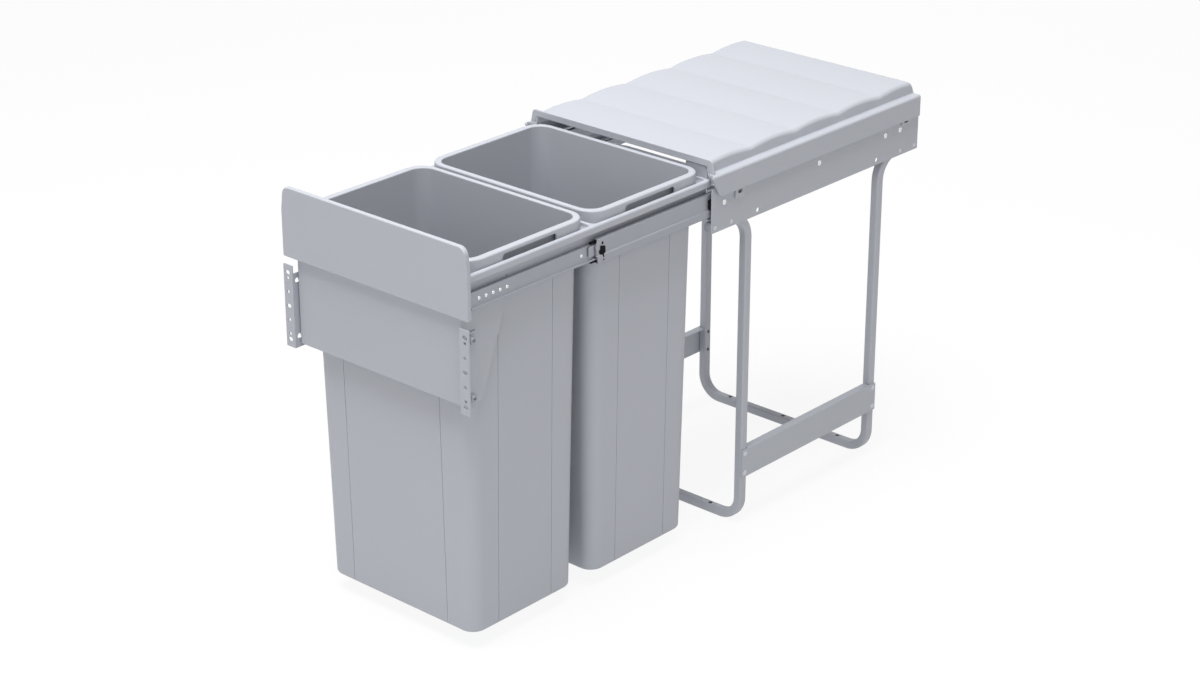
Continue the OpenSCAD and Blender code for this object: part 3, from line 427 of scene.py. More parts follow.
def fastener_tree():
    """Geometry nodes that set one fastener on every seat point, turned along the seat's axis."""
    tree = bpy.data.node_groups.new("fasteners on seats", "GeometryNodeTree")
    inputs = (("Seats", "Geometry"), ("Fastener", "Object"), ("Size", "Float"), ("Finish", "Material"))
    for name, kind in inputs:
        tree.interface.new_socket(name, in_out="INPUT", socket_type="NodeSocket" + kind)
    tree.interface.new_socket("Fasteners", in_out="OUTPUT", socket_type="NodeSocketGeometry")
    entry = tree.nodes.new("NodeGroupInput")
    shape = tree.nodes.new("GeometryNodeObjectInfo")
    axis = tree.nodes.new("GeometryNodeInputNamedAttribute")
    axis.data_type = "FLOAT_VECTOR"
    axis.inputs["Name"].default_value = "axis"
    align = tree.nodes.new("FunctionNodeAlignRotationToVector")
    align.axis = "Z"
    place = tree.nodes.new("GeometryNodeInstanceOnPoints")
    realize = tree.nodes.new("GeometryNodeRealizeInstances")
    coat = tree.nodes.new("GeometryNodeSetMaterial")
    leave = tree.nodes.new("NodeGroupOutput")
    for start, out, end, into in (
        (entry, "Seats", place, "Points"),
        (entry, "Fastener", shape, "Object"),
        (shape, "Geometry", place, "Instance"),
        (axis, "Attribute", align, "Vector"),
        (align, "Rotation", place, "Rotation"),
        (entry, "Size", place, "Scale"),
        (place, "Instances", realize, "Geometry"),
        (realize, "Geometry", coat, "Geometry"),
        (entry, "Finish", coat, "Material"),
        (coat, "Geometry", leave, "Fasteners"),
    ):
        tree.links.new(start.outputs[out], end.inputs[into])
    return tree


fasteners = fastener_tree()


def fasten(name, shape, seats, finish, body, replaced):
    """One piece for a set of like fasteners, each of one shape: seats are (x, y, z, axis) in millimetres."""
    points = bpy.data.meshes.new("seats")
    points.from_pydata([Vector(seat[:3]) * MM for seat in seats], [], [])
    axes = points.attributes.new("axis", "FLOAT_VECTOR", "POINT")
    axes.data.foreach_set("vector", [number for seat in seats for number in seat[3]])
    seated = bpy.data.objects.new("seats", points)
    template = bpy.data.objects.new("fastener", shape)
    scene.collection.objects.link(seated)
    scene.collection.objects.link(template)
    nodes = seated.modifiers.new("fasteners", "NODES")
    nodes.node_group = fasteners
    settings = {"Fastener": template, "Size": 1.0, "Finish": finish.material}
    for socket in fasteners.interface.items_tree:
        if socket.name in settings:
            nodes[socket.identifier] = settings[socket.name]
    mesh = evaluated(seated)
    bpy.data.objects.remove(template)
    return piece(name, mesh, finish, body, replaced)


bright_steel = Finish("bright plated steel", metallic=1.0)
tarnish = bright_steel.cloud(scale=160, detail=3)
bright_steel.colour(tarnish, STEEL_LOW, STEEL_HIGH)
bright_steel.rough(0.16 + tarnish * 0.16)
bright_steel.bump(bright_steel.cloud(scale=900, detail=1), depth=0.00002)

# A paler copy of the powder coat for the weld spots and the stretcher rivets' heads: a painted highlight,
# standing in for the light their small domes catch.
painted_highlight_coat = Finish("powder coat, painted paler as a highlight on raised spots", specular_ior_level=0.5)
speckle = painted_highlight_coat.cloud(scale=420, detail=2)
painted_highlight_coat.colour(speckle, PAINTED_HIGHLIGHT_COAT_LOW, PAINTED_HIGHLIGHT_COAT_HIGH)
painted_highlight_coat.rough(0.3 + speckle * 0.16)
painted_highlight_coat.bump(speckle, depth=0.00006)

for side, s in SIDES:
    node = f"stretcher_{side}"
    strip = softened(node, STRETCHER_EDGE)
    piece(node + "_strip", strip, powder_coat, "cabinet_frame", [node])
seats = [
    (s * (RAIL_X + STRETCHER_T), t * LEG_Y, z, (s, 0, 0))
    for s in (-1, 1) for t in (-1, 1) for z in STRETCHER_RIVET_ZS
]
rivet = lathe(RIVET_HEAD)
fasten("stretcher_rivet_heads", rivet, seats, painted_highlight_coat, "cabinet_frame", ["stretcher_rivets"])

# Side plates: flat steel plates welded to the legs' ends, which carry the slides and screw to the cabinet.
# Small raised spots mark the welds, with a paler coat as a painted highlight; bright rivets hold the outer
# rails, and plugs close the legs' ends.
PLATE_X = 127.3
SLIDE_Z = 386.4
SHEET_EDGE = 0.35
PLATE_RIVET_YS = (-159, 0, 118, 145)
WELD_YS = (-173, -147, 147, 173)
WELD_SPOT = [(0, -0.35), (2.5, -0.35), (2.5, 0), (2.2, 0.3), (1.6, 0.55), (0.9, 0.7), (0, 0.75)]
TUBE_PLUG = [(0, -4), (5.3, -4), (5.3, -0.4), (4.9, -0.1), (0, -0.1)]

for side, s in SIDES:
    node = f"side_plate_{side}"
    sheet = softened(node, SHEET_EDGE)
    piece(node + "_sheet", sheet, powder_coat, "cabinet_frame", [node])
seats = [(s * PLATE_X, y, SLIDE_Z, (s, 0, 0)) for s in (-1, 1) for y in PLATE_RIVET_YS]
fasten("plate_rivet_heads", lathe(RIVET_HEAD), seats, bright_steel, "cabinet_frame", ["plate_rivets"])
seats = [(s * PLATE_X, y, LEG_END_Z, (s, 0, 0)) for s in (-1, 1) for y in WELD_YS]
fasten("weld_spots", lathe(WELD_SPOT, steps=16), seats, painted_highlight_coat, "cabinet_frame", [])
seats = [(s * LEG_X, t * LEG_END_Y, LEG_END_Z, (0, t, 0)) for s in (-1, 1) for t in (-1, 1)]
plug = lathe(TUBE_PLUG, steps=4, start=math.pi / 4)
fasten("tube_end_plugs", plug, seats, powder_coat, "cabinet_frame", [])

# Slides: rolled zinc-plated steel rails that run on caged balls, one set on each side.
# The outer rail is riveted to its plate, with a black buffer at its front end.
ZINC_LOW = (0.335, 0.347, 0.388)
ZINC_HIGH = (0.385, 0.398, 0.442)
BLACK_LOW = (0.004, 0.004, 0.005)
BLACK_HIGH = (0.010, 0.010, 0.012)
PAD = [(122.95, -180.5), (RAIL_X, -180.5), (RAIL_X, -175), (122.95, -175)]
PAD_Z = (-2.8, 7.0)
PAD_EDGE = 0.5

zinc = Finish("zinc plated rail", metallic=0.35)
rolling = zinc.cloud(scale=260, detail=4, stretch=(1, 0.02, 1))
spangle = zinc.cloud(scale=55, detail=2)
zinc.colour(rolling * 0.5 + spangle * 0.5, ZINC_LOW, ZINC_HIGH)
zinc.rough(0.26 + rolling * 0.22)
zinc.bump(rolling, depth=0.00004)

black_plastic = Finish("black moulded plastic", specular_ior_level=0.06)
mould_grain = black_plastic.cloud(scale=1500, detail=2)
black_plastic.colour(mould_grain, BLACK_LOW, BLACK_HIGH)
black_plastic.rough(0.38 + mould_grain * 0.2)
black_plastic.bump(mould_grain, depth=0.00008)


def prism(outline, place, depths):
    """A closed mesh from an outline: place(a, b, depth) gives the point, depths the two ends."""
    work = bmesh.new()
    ends = [[work.verts.new(Vector(place(a, b, depth)) * MM) for a, b in outline] for depth in depths]
    work.faces.new(ends[0])
    work.faces.new(list(reversed(ends[1])))
    for k in range(len(outline)):
        j = (k + 1) % len(outline)
        work.faces.new((ends[0][k], ends[1][k], ends[1][j], ends[0][j]))
    bmesh.ops.recalc_face_normals(work, faces=work.faces)
    mesh = bpy.data.meshes.new("prism")
    work.to_mesh(mesh)
    work.free()
    return mesh


for side, s in SIDES:
    node = f"outer_rail_{side}"
    piece(node + "_channel", softened(node, SHEET_EDGE), zinc, "cabinet_frame", [node])
    node = f"rail_bumper_{side}"
    pad = rounded(prism(PAD, lambda x, y, z: (s * x, y, SLIDE_Z + z), PAD_Z), PAD_EDGE)
    piece(node + "_pad", pad, black_plastic, "cabinet_frame", [node])

# Middle rails: rolled from the same zinc-plated strip, they run inside the outer rails on balls. The web is
# set back above a taller lower race. The front end is cut to a round nose, and a black catch sits in it.
MIDDLE_WEB_X = 124.2
MIDDLE_END_X = 117.5
MIDDLE_HALF = 12.5
MIDDLE_Y0 = -349
MIDDLE_Y1 = 1
RAIL_T = 1.2
WEB_SET_BACK = 1.5
RACE_DEPTH = 7.8
RACE_SLOPE = 0.8
RACE_SLOPE_INSIDE = 1.0
RAIL_EDGE = 0.5
NOSE = [(12.5, 1.0), (5.4, -2.0), (-3.9, -2.0), (-4.7, -0.5), (-12.5, 0)]
CATCH = [
    (4.9, 5.1), (11.4, 3.4), (11.8, -3.4), (8.6, -4.2), (8.3, -5.6), (8.6, -7.4), (7.0, -7.4), (4.6, -4.4),
    (2.8, -1.8), (2.6, -0.3), (4.4, 0.9),
]
CATCH_X = (121.9, 123.5)
TAIL = [(6.4, -3.4), (8.4, -3.4), (8.4, -5.6), (9.0, -7.4), (7.6, -7.4), (6.6, -5.4)]
TAIL_X = (122.2, 124.5)
CATCH_EDGE = 0.25
# face that the pin stands on, place behind the rail's front end, height and radius
CATCH_PINS = ((MIDDLE_WEB_X - WEB_SET_BACK, 7.9, 7.2, 1.4), (MIDDLE_WEB_X, 8.2, -9.9, 0.9))
PIN_TOP = 0.3
PIN_SUNK = 0.6
PIN_CHAMFER = 0.2


def middle_section():
    """The rail's rolled section: along the outside from the top to the foot, and back along the inside."""
    web = MIDDLE_WEB_X - WEB_SET_BACK
    race = RACE_DEPTH - MIDDLE_HALF
    shoulder = NOSE[1][0]
    outside = [
        (MIDDLE_END_X, MIDDLE_HALF), (web, MIDDLE_HALF), (web, shoulder), (web, race + RACE_SLOPE),
        (MIDDLE_WEB_X, race), (MIDDLE_WEB_X, -MIDDLE_HALF), (MIDDLE_END_X, -MIDDLE_HALF),
    ]
    inside = [
        (MIDDLE_END_X, RAIL_T - MIDDLE_HALF), (MIDDLE_WEB_X - RAIL_T, RAIL_T - MIDDLE_HALF),
        (MIDDLE_WEB_X - RAIL_T, race - RACE_SLOPE_INSIDE), (web - RAIL_T, race + RACE_SLOPE),
        (web - RAIL_T, shoulder), (web - RAIL_T, MIDDLE_HALF - RAIL_T), (MIDDLE_END_X, MIDDLE_HALF - RAIL_T),
    ]
    return outside + inside


def nose_y(z):
    """Where the rail's front end is cut at one height: a round nose on the web, and a straight end below."""
    for (high, near), (low, far) in zip(NOSE, NOSE[1:]):
        if low <= z <= high:
            return MIDDLE_Y0 + far + (near - far) * (z - low) / (high - low)
    return MIDDLE_Y0


def joined(meshes):
    """One mesh that holds several closed ones."""
    work = bmesh.new()
    for mesh in meshes:
        work.from_mesh(mesh)
    whole = bpy.data.meshes.new("joined")
    work.to_mesh(whole)
    work.free()
    return whole


for side, s in SIDES:
    rail = prism(
        middle_section(),
        lambda x, z, end: (s * x, nose_y(z) if end == 0 else MIDDLE_Y1, SLIDE_Z + z),
        (0, 1),
    )
    node = f"middle_rail_{side}"
    channel = rounded(rail, RAIL_EDGE, segments=3)
    piece(node + "_channel", channel, zinc, "middle_rails", [node])
    hook = joined([
        rounded(prism(outline, lambda y, z, x: (s * x, MIDDLE_Y0 + y, SLIDE_Z + z), depths), CATCH_EDGE)
        for outline, depths in ((CATCH, CATCH_X), (TAIL, TAIL_X))
    ])
    node = f"rail_catch_{side}"
    piece(node + "_hook", hook, black_plastic, "middle_rails", [node])
for k, (face, y, z, r) in enumerate(CATCH_PINS):
    outline = [
        (0, -PIN_SUNK), (r, -PIN_SUNK), (r, PIN_TOP - PIN_CHAMFER), (r - PIN_CHAMFER, PIN_TOP), (0, PIN_TOP),
    ]
    pin = lathe(outline, steps=16)
    seats = [(s * face, MIDDLE_Y0 + y, SLIDE_Z + z, (s, 0, 0)) for side, s in SIDES]
    fasten(f"catch_pins_{k}", pin, seats, black_plastic, "middle_rails", [])

# Ball cages: thin steel strips bored for the balls, which roll between the rails and move at part of the
# carrier's speed. The strips keep their CAD shape; the balls are polished steel. The inner cages' ends, with
# black guides, stand out in front of the noses.
CAGE_LEN = 160
BALLS_PER_ROW = 6
TONGUE = [(-341, 7.6), (-358.6, 7.6), (-360, 6.2), (-360, -2.4), (-358.6, -3.8), (-341, -3.8)]
TONGUE_X = (120.75, 121.4)
GUIDE = [(118.4, -356.5), (121.4, -356.5), (121.4, -341), (118.4, -341)]
GUIDE_ZS = ((9.0, 11.0), (-11.0, -9.0))
TONGUE_EDGE = 0.15
GUIDE_EDGE = 0.3
BALL_STEPS = 10
# body, middle of the cage along Y, and the balls' place halfway between the rails' webs, their height above
# and below the slide's middle, and their diameter
BALL_ROWS = {
    "outer": ("outer_ball_cages", -87, (118.1 + 124.6) / 2, 14.45, 3.6),
    "inner": ("inner_ball_cages", -261, (116.5 + 123.0) / 2, 9.9, 2.5),
}


def dress(finish, *names):
    """Gives a finish to CAD nodes that keep their own shape."""
    for name in names:
        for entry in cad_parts[name].material_slots:
            entry.material = finish.material


for which, (body, mid_y, ball_x, ball_z, ball_d) in BALL_ROWS.items():
    dress(bright_steel, f"{which}_cage_left", f"{which}_cage_right")
    step = CAGE_LEN / BALLS_PER_ROW
    seats = [
        (s * ball_x, mid_y - CAGE_LEN / 2 + (k + 0.5) * step, SLIDE_Z + t * ball_z, (0, 0, 1))
        for s in (-1, 1) for t in (-1, 1) for k in range(BALLS_PER_ROW)
    ]
    ball_r = ball_d / 2
    arc = [math.pi * (k / BALL_STEPS - 0.5) for k in range(1, BALL_STEPS)]
    outline = [(0, -ball_r), *((ball_r * math.cos(a), ball_r * math.sin(a)) for a in arc), (0, ball_r)]
    fasten(f"{which}_ball_set", lathe(outline, steps=16), seats, bright_steel, body, [f"{which}_balls"])
for side, s in SIDES:
    tongue = rounded(prism(TONGUE, lambda y, z, x: (s * x, y, SLIDE_Z + z), TONGUE_X), TONGUE_EDGE)
    piece(f"cage_tongue_{side}", tongue, zinc, "inner_ball_cages")
    guides = joined([
        rounded(prism(GUIDE, lambda x, y, z: (s * x, y, SLIDE_Z + z), ends), GUIDE_EDGE) for ends in GUIDE_ZS
    ])
    piece(f"cage_guides_{side}", guides, black_plastic, "inner_ball_cages")

# Inner rails: rolled zinc-plated strips with a lip along the foot, riveted to the front plate's wings and the
# carrier frame. Their small rivets stand in a row behind the front panel.
INNER_BACK_X = 115.3
INNER_FACE_X = 119.8
INNER_LIP_X = 122.0
INNER_HALF = 8.5
INNER_LIP = 1.6
INNER_SLOPE = 0.4
INNER_Y = (-523, -173)
SMALL_RIVET_Z = 386.8
SMALL_RIVET_YS = (-511, -501.5, -492, -482.5, -473, -368.5, -184.4)
SMALL_RIVET = [
    (0, -2.6), (1.5, -2.6), (1.5, 0), (2.0, 0), (2.0, 0.15), (1.75, 0.5), (1.3, 0.72), (0.7, 0.86), (0, 0.9),
]
INNER_SECTION = [
    (INNER_BACK_X, INNER_HALF), (INNER_FACE_X, INNER_HALF),
    (INNER_FACE_X, INNER_LIP + INNER_SLOPE - INNER_HALF), (INNER_LIP_X, INNER_LIP - INNER_HALF),
    (INNER_LIP_X, -INNER_HALF), (INNER_BACK_X, -INNER_HALF),
    (INNER_BACK_X, RAIL_T - INNER_HALF), (INNER_FACE_X - RAIL_T, RAIL_T - INNER_HALF),
    (INNER_FACE_X - RAIL_T, INNER_HALF - RAIL_T), (INNER_BACK_X, INNER_HALF - RAIL_T),
]

for side, s in SIDES:
    rail = prism(INNER_SECTION, lambda x, z, y: (s * x, y, SLIDE_Z + z), INNER_Y)
    node = f"inner_rail_{side}"
    channel = rounded(rail, RAIL_EDGE, segments=3)
    piece(node + "_channel", channel, zinc, "bin_carrier", [node])
seats = [(s * INNER_FACE_X, y, SMALL_RIVET_Z, (s, 0, 0)) for s in (-1, 1) for y in SMALL_RIVET_YS]
fasten("rail_rivet_heads", lathe(SMALL_RIVET), seats, bright_steel, "bin_carrier", ["rail_rivets"])

# Carrier frame: one moulding of silver-grey plastic with two openings and a ridge that keeps the bins' rims
# in place. A thin rib behind the rear bin rises to a stop tab at the right. The inner rails are riveted to
# its sides, and the panel's screws hold it to the front plate.
PLASTIC_COLOUR = (0.468, 0.485, 0.530)
PLASTIC_SHADE = (0.440, 0.457, 0.500)

grey_plastic = Finish("silver grey moulded plastic", specular_ior_level=0.4)
grain = grey_plastic.cloud(scale=1300, detail=2)
flow = grey_plastic.cloud(scale=5, detail=2)
grey_plastic.colour(flow * 0.7 + grain * 0.3, PLASTIC_SHADE, PLASTIC_COLOUR)
grey_plastic.rough(0.40 + grain * 0.16)
grey_plastic.bump(grain, depth=0.00007)

RING_MID_Y = -349.65
RING_HALF = 177.25
RING_R = 3.5
RING_T = 2.3
RING_Z = 376.0
RIDGE_Z = 405.6
RIDGE_TOP = 413.4
RIDGE_X = 121.6
RIDGE_R = 2.2
RIDGE_FOOT_R = 0.5
RECESS_R = 1.2
SEAT_R = 5
WALL_X = INNER_BACK_X
WALL_IN_X = 113.0
BAR_HALF = 6.25
BAR_DROP = 10
# spans in x, y and z that the front plate's wings take
WING_ROOM = ((112, 116.5), (-528, -468.4), (375, 397.3))
BIN_X = 110.0
BIN_HALF_LEN = 80.5
BIN_YS = {"front_bin": -437.0, "rear_bin": -262.3}
TOP_R = 18
RIM_SIDE = 6
RIM_END = 4
SEAT_Z = 409.0
FIT = 0.6
REAR_RIB = [
    (88, 426.3), (113.5, 426.3), (116.4, 422.5), (116.4, 408), (-116.4, 408), (-116.4, 419.5), (-20, 421),
    (10, 423.3), (88, 423.3),
]
REAR_RIB_Y = (-174.8, -173.6)
REAR_RIB_EDGE = 0.3
CUT_PAST = 1


def loft(levels):
    """A closed mesh through a stack of levels: each is a loop of as many (x, y) points, and a height."""
    work = bmesh.new()
    loops = [[work.verts.new((x * MM, y * MM, z * MM)) for x, y in loop] for loop, z in levels]
    for low, high in zip(loops, loops[1:]):
        for k in range(len(low)):
            j = (k + 1) % len(low)
            work.faces.new((low[k], low[j], high[j], high[k]))
    work.faces.new(list(reversed(loops[0])))
    work.faces.new(loops[-1])
    bmesh.ops.recalc_face_normals(work, faces=work.faces)
    mesh = bpy.data.meshes.new("loft")
    work.to_mesh(mesh)
    work.free()
    return mesh


def box(x, y, z):
    """A block from its spans along the three axes."""
    return loft([([(x[0], y[0]), (x[1], y[0]), (x[1], y[1]), (x[0], y[1])], level) for level in z])


def quarter(r, steps=6):
    """Inset and rise along a quarter round of radius r, from the side to the top."""
    return [(r * (1 - math.cos(a)), r * math.sin(a)) for a in quarter_turn(steps)]


def carrier_body():
    """The carrier before its openings are cut: an upright wall under a wider ridge with a rounded top."""
    levels = [(rounded_rect(WALL_X, RING_HALF, RING_R, RING_MID_Y), z) for z in (RING_Z, RIDGE_Z)]
    outline = [(RIDGE_FOOT_R, RIDGE_Z), (0, RIDGE_Z + RIDGE_FOOT_R)]
    outline += [(inset, RIDGE_TOP - RIDGE_R + rise) for inset, rise in quarter(RIDGE_R)]
    for inset, z in outline:
        levels.append((rounded_rect(RIDGE_X - inset, RING_HALF - inset, RING_R - inset, RING_MID_Y), z))
    return loft(levels)


def bin_seat(y):
    """The cutter for a bin's opening: a straight way through, a squarer seat for the rim, a rounded mouth."""
    def outline(side, end, r, z):
        return rounded_rect(BIN_X + side, BIN_HALF_LEN + end, r, y), z

    side, end = RIM_SIDE + FIT, RIM_END + FIT
    levels = [outline(FIT, FIT, TOP_R, z) for z in (RIDGE_Z - BAR_DROP - CUT_PAST, SEAT_Z)]
    levels.append(outline(side, end, SEAT_R, SEAT_Z))
    for out, rise in quarter(RECESS_R) + [(RECESS_R, RECESS_R + CUT_PAST)]:
        levels.append(outline(side + out, end + out, SEAT_R + out, RIDGE_TOP - RECESS_R + rise))
    return loft(levels)


def hollow(y0, y1, z0, z1):
    """The cutter for a space inside the carrier's wall."""
    loop = rounded_rect(WALL_IN_X, (y1 - y0) / 2, RING_R - RING_T, (y0 + y1) / 2)
    return loft([(loop, z) for z in (z0, z1)])


ring_y0, ring_y1 = RING_MID_Y - RING_HALF + RING_T, RING_MID_Y + RING_HALF - RING_T
bar_z = RIDGE_Z - BAR_DROP
tools = [hollow(ring_y0, ring_y1, RING_Z - CUT_PAST, bar_z)]
tools += [hollow(ring_y0, RING_MID_Y - BAR_HALF, bar_z - CUT_PAST, RIDGE_Z)]
tools += [hollow(RING_MID_Y + BAR_HALF, ring_y1, bar_z - CUT_PAST, RIDGE_Z)]
tools += [bin_seat(y) for y in BIN_YS.values()]
tools += [box(sorted(s * x for x in WING_ROOM[0]), *WING_ROOM[1:]) for side, s in SIDES]
rear_rib = rounded(prism(REAR_RIB, lambda x, z, y: (x, y, z), REAR_RIB_Y), REAR_RIB_EDGE)
carrier = smoothed(joined([cut(carrier_body(), tools), rear_rib]))
piece("carrier_moulding", carrier, grey_plastic, "bin_carrier", ["carrier_frame"])

# Front plate and panel: a bent and coated steel sheet whose wings carry the rails, with a moulded panel
# screwed on in front. The panel's edges are rounded; its screws go in from behind.
PANEL_EDGE = 1.3
PANEL_SCREW_XS = (-80, -30, 30, 80)
PANEL_SCREW_Y = -524.6
PANEL_SCREW = [(0, -5), (2.2, -5), (2.2, 0), (4, 0), (4, 0.5), (3.7, 1.0), (3.0, 1.4), (1.6, 1.6), (0, 1.6)]
PANEL_SCREW_RECESS = 0.9
CROSS_REACH = 2.1
CROSS_HALF = 0.45


def screw(outline, recess):
    """A turned screw with a cross recess sunk into its head."""
    top = outline[-1][1]
    depth = (top - recess, top + CUT_PAST)
    arm, width = (-CROSS_REACH, CROSS_REACH), (-CROSS_HALF, CROSS_HALF)
    return cut(lathe(outline), [box(arm, width, depth), box(width, arm, depth)])


plate = softened("front_plate", SHEET_EDGE)
piece("front_plate_sheet", plate, powder_coat, "bin_carrier", ["front_plate"])
panel = softened("front_panel", PANEL_EDGE, segments=3)
piece("front_panel_moulding", panel, grey_plastic, "bin_carrier", ["front_panel"])
seats = [(x, PANEL_SCREW_Y, SLIDE_Z, (0, 1, 0)) for x in PANEL_SCREW_XS]
panel_screw = screw(PANEL_SCREW, PANEL_SCREW_RECESS)
fasten("panel_screw_heads", panel_screw, seats, bright_steel, "bin_carrier", ["panel_screws"])

# Door brackets: coated steel angles screwed to the front plate's wings through slots, so the door can be
# moved in and out. A pan-head screw with a washer holds each slot.
BRACKET_X = 117.2
WASHER_T = 1.0
BRACKET_SCREW_Y = -520
BRACKET_SCREW_ZS = (286.35, 346.35)
BRACKET_SCREW = [
    (0, -4), (2.2, -4), (2.2, 0), (4, 0), (4, 0.9), (3.85, 1.6), (3.4, 2.2), (2.6, 2.6), (1.4, 2.8), (0, 2.8),
]
BRACKET_SCREW_RECESS = 1.4
WASHER = [(2.3, 0.1), (2.4, 0), (4.85, 0), (5, 0.12), (5, 0.85), (4.8, 1), (2.45, 1), (2.3, 0.9)]


def ring(outline, steps=28):
    """A closed ring about Z, from a closed outline of (radius, height) pairs."""
    work = bmesh.new()
    angles = [2 * math.pi * k / steps for k in range(steps)]
    hoops = [
        [work.verts.new((r * MM * math.cos(a), r * MM * math.sin(a), z * MM)) for a in angles]
        for r, z in outline
    ]
    for low, high in zip(hoops, hoops[1:] + hoops[:1]):
        for k in range(steps):
            j = (k + 1) % steps
            work.faces.new((low[k], low[j], high[j], high[k]))
    bmesh.ops.recalc_face_normals(work, faces=work.faces)
    mesh = bpy.data.meshes.new("ring")
    work.to_mesh(mesh)
    work.free()
    mesh.shade_smooth()
    mesh.set_sharp_from_angle(angle=EDGE_ANGLE)
    return mesh


for side, s in SIDES:
    node = f"door_bracket_{side}"
    piece(node + "_angle", softened(node, SHEET_EDGE), powder_coat, node, [node])
seats = [(s * BRACKET_X, BRACKET_SCREW_Y, z, (s, 0, 0)) for s in (-1, 1) for z in BRACKET_SCREW_ZS]
fasten("bracket_washer_set", ring(WASHER), seats, zinc, "bin_carrier", ["bracket_washers"])
seats = [(x + axis[0] * WASHER_T, y, z, axis) for x, y, z, axis in seats]
bracket_screw = screw(BRACKET_SCREW, BRACKET_SCREW_RECESS)
fasten("bracket_screw_heads", bracket_screw, seats, zinc, "bin_carrier", ["bracket_screws"])

# Bins: deep tapered boxes moulded of the same plastic, with fine grooves round their broad fields and a
# turned-over rim. The rim hangs on the carrier, and a hand slot in each side of it takes the fingers.
BIN_Z = 18.2
RIM_Z = 409.2
RIM_TOP = 423.2
DRAFT = math.tan(math.radians(0.92))
BIN_WALL = 2.0
BIN_FLOOR = 2.5
FOOT_R = 16
FOOT_ROUND = 3.5
FOOT_STEPS = 5
LEAST_CORNER_R = 4
RIM_T = 2
RIM_NECK_R = 0.8
RIM_CORNER_R = 0.6
RIM_FOOT_R = 0.5
RIM_TOP_R = 1.8
RIM_MOUTH_R = 1.2
FIELD_TOP = 372.9
GROOVE_D = 0.5
GROOVE_W = 0.7
GROOVE_LEAN = 0.06
FIELD_SIDE = 38
FIELD_FRONT = 67
HAND_HALF = 37.5
HAND_TOP = 419.2
HAND_R = 3.5
HAND_PAST = 2
HAND_WALL_GAP = 1.2


def bin_loop(half_x, half_y, r, groove=0.0, field=0.0):
    """One level of a bin: a rounded rectangle with a groove, sunk as given, at each edge of its fields."""
    corners = rounded_rect(half_x, half_y, r, 0)
    count = CORNER_STEPS + 1
    loop = []
    for k in range(4):
        loop += corners[k * count:(k + 1) * count]
        width = FIELD_SIDE if k % 2 == 0 else FIELD_FRONT
        edge = [(0, 0), (GROOVE_LEAN, groove), (GROOVE_W - GROOVE_LEAN, groove), (GROOVE_W, field)]
        profile = [(-width - GROOVE_W + step, sunk) for step, sunk in edge]
        profile += [(-along, sunk) for along, sunk in reversed(profile)]
        for along, sunk in profile:
            x, y = half_x - sunk, half_y - sunk
            loop.append([(x, along), (-along, y), (-x, -along), (along, -y)][k])
    return loop


def bin_levels():
    """The levels of a bin's wall: up the outside, over the rim and down the inside."""
    def wall(z, inset, groove=0.0, field=0.0):
        draw = DRAFT * (SEAT_Z - z)
        r = FOOT_R + (TOP_R - FOOT_R) * (z - BIN_Z) / (SEAT_Z - BIN_Z)
        r = max(r - inset, LEAST_CORNER_R)
        return bin_loop(BIN_X - draw - inset, BIN_HALF_LEN - draw - inset, r, groove, field), z

    def rim(side, end, z):
        return bin_loop(BIN_X + side, BIN_HALF_LEN + end, TOP_R + end), z

    def lip(inset, z):
        return rim(RIM_SIDE - inset, RIM_END - inset, z)

    foot = quarter(FOOT_ROUND, FOOT_STEPS)
    levels = [wall(BIN_Z + rise, FOOT_ROUND - run) for rise, run in foot[:-1]]
    levels += [wall(z, 0, GROOVE_D) for z in (BIN_Z + FOOT_ROUND, FIELD_TOP)]
    groove_top = FIELD_TOP + GROOVE_W
    levels += [wall(z, 0, GROOVE_D, GROOVE_D) for z in (FIELD_TOP + GROOVE_LEAN, groove_top - GROOVE_LEAN)]
    levels += [wall(z, 0) for z in (groove_top, SEAT_Z)]
    under = RIM_TOP - RIM_T
    levels += [rim(0, 0, under - RIM_NECK_R), rim(RIM_NECK_R, RIM_NECK_R, under)]
    levels += [lip(RIM_T + RIM_CORNER_R, under), lip(RIM_T, under - RIM_CORNER_R)]
    levels += [lip(RIM_T, RIM_Z + RIM_FOOT_R), lip(RIM_T - RIM_FOOT_R, RIM_Z)]
    levels += [lip(RIM_FOOT_R, RIM_Z), lip(0, RIM_Z + RIM_FOOT_R)]
    levels += [lip(inset, RIM_TOP - RIM_TOP_R + rise) for inset, rise in quarter(RIM_TOP_R, steps=4)]
    for drop, run in quarter(RIM_MOUTH_R, steps=3):
        out = RIM_MOUTH_R - run - BIN_WALL
        levels.append(rim(out, out, RIM_TOP - drop))
    levels.append(wall(SEAT_Z, BIN_WALL))
    floor_z = BIN_Z + BIN_FLOOR
    levels += [wall(floor_z + rise, BIN_WALL + FOOT_ROUND - run) for rise, run in reversed(foot)]
    return levels


def hand_slot(s, y):
    """The cutter for one hand slot: open below, with round upper corners."""
    corner = [(HAND_HALF - inset, HAND_TOP - HAND_R + rise) for inset, rise in quarter(HAND_R)]
    outline = [(-HAND_HALF, RIM_Z - HAND_PAST), (HAND_HALF, RIM_Z - HAND_PAST), *corner]
    outline += [(-along, z) for along, z in reversed(corner)]
    depths = (BIN_X + HAND_WALL_GAP, BIN_X + RIM_SIDE + HAND_PAST)
    return prism(outline, lambda along, z, x: (s * x, y + along, z), depths)


for node, y in BIN_YS.items():
    walls = loft([([(px, py + y) for px, py in loop], z) for loop, z in bin_levels()])
    tub = cut(walls, [hand_slot(s, y) for side, s in SIDES])
    piece(node + "_tub", tub, grey_plastic, node, [node])

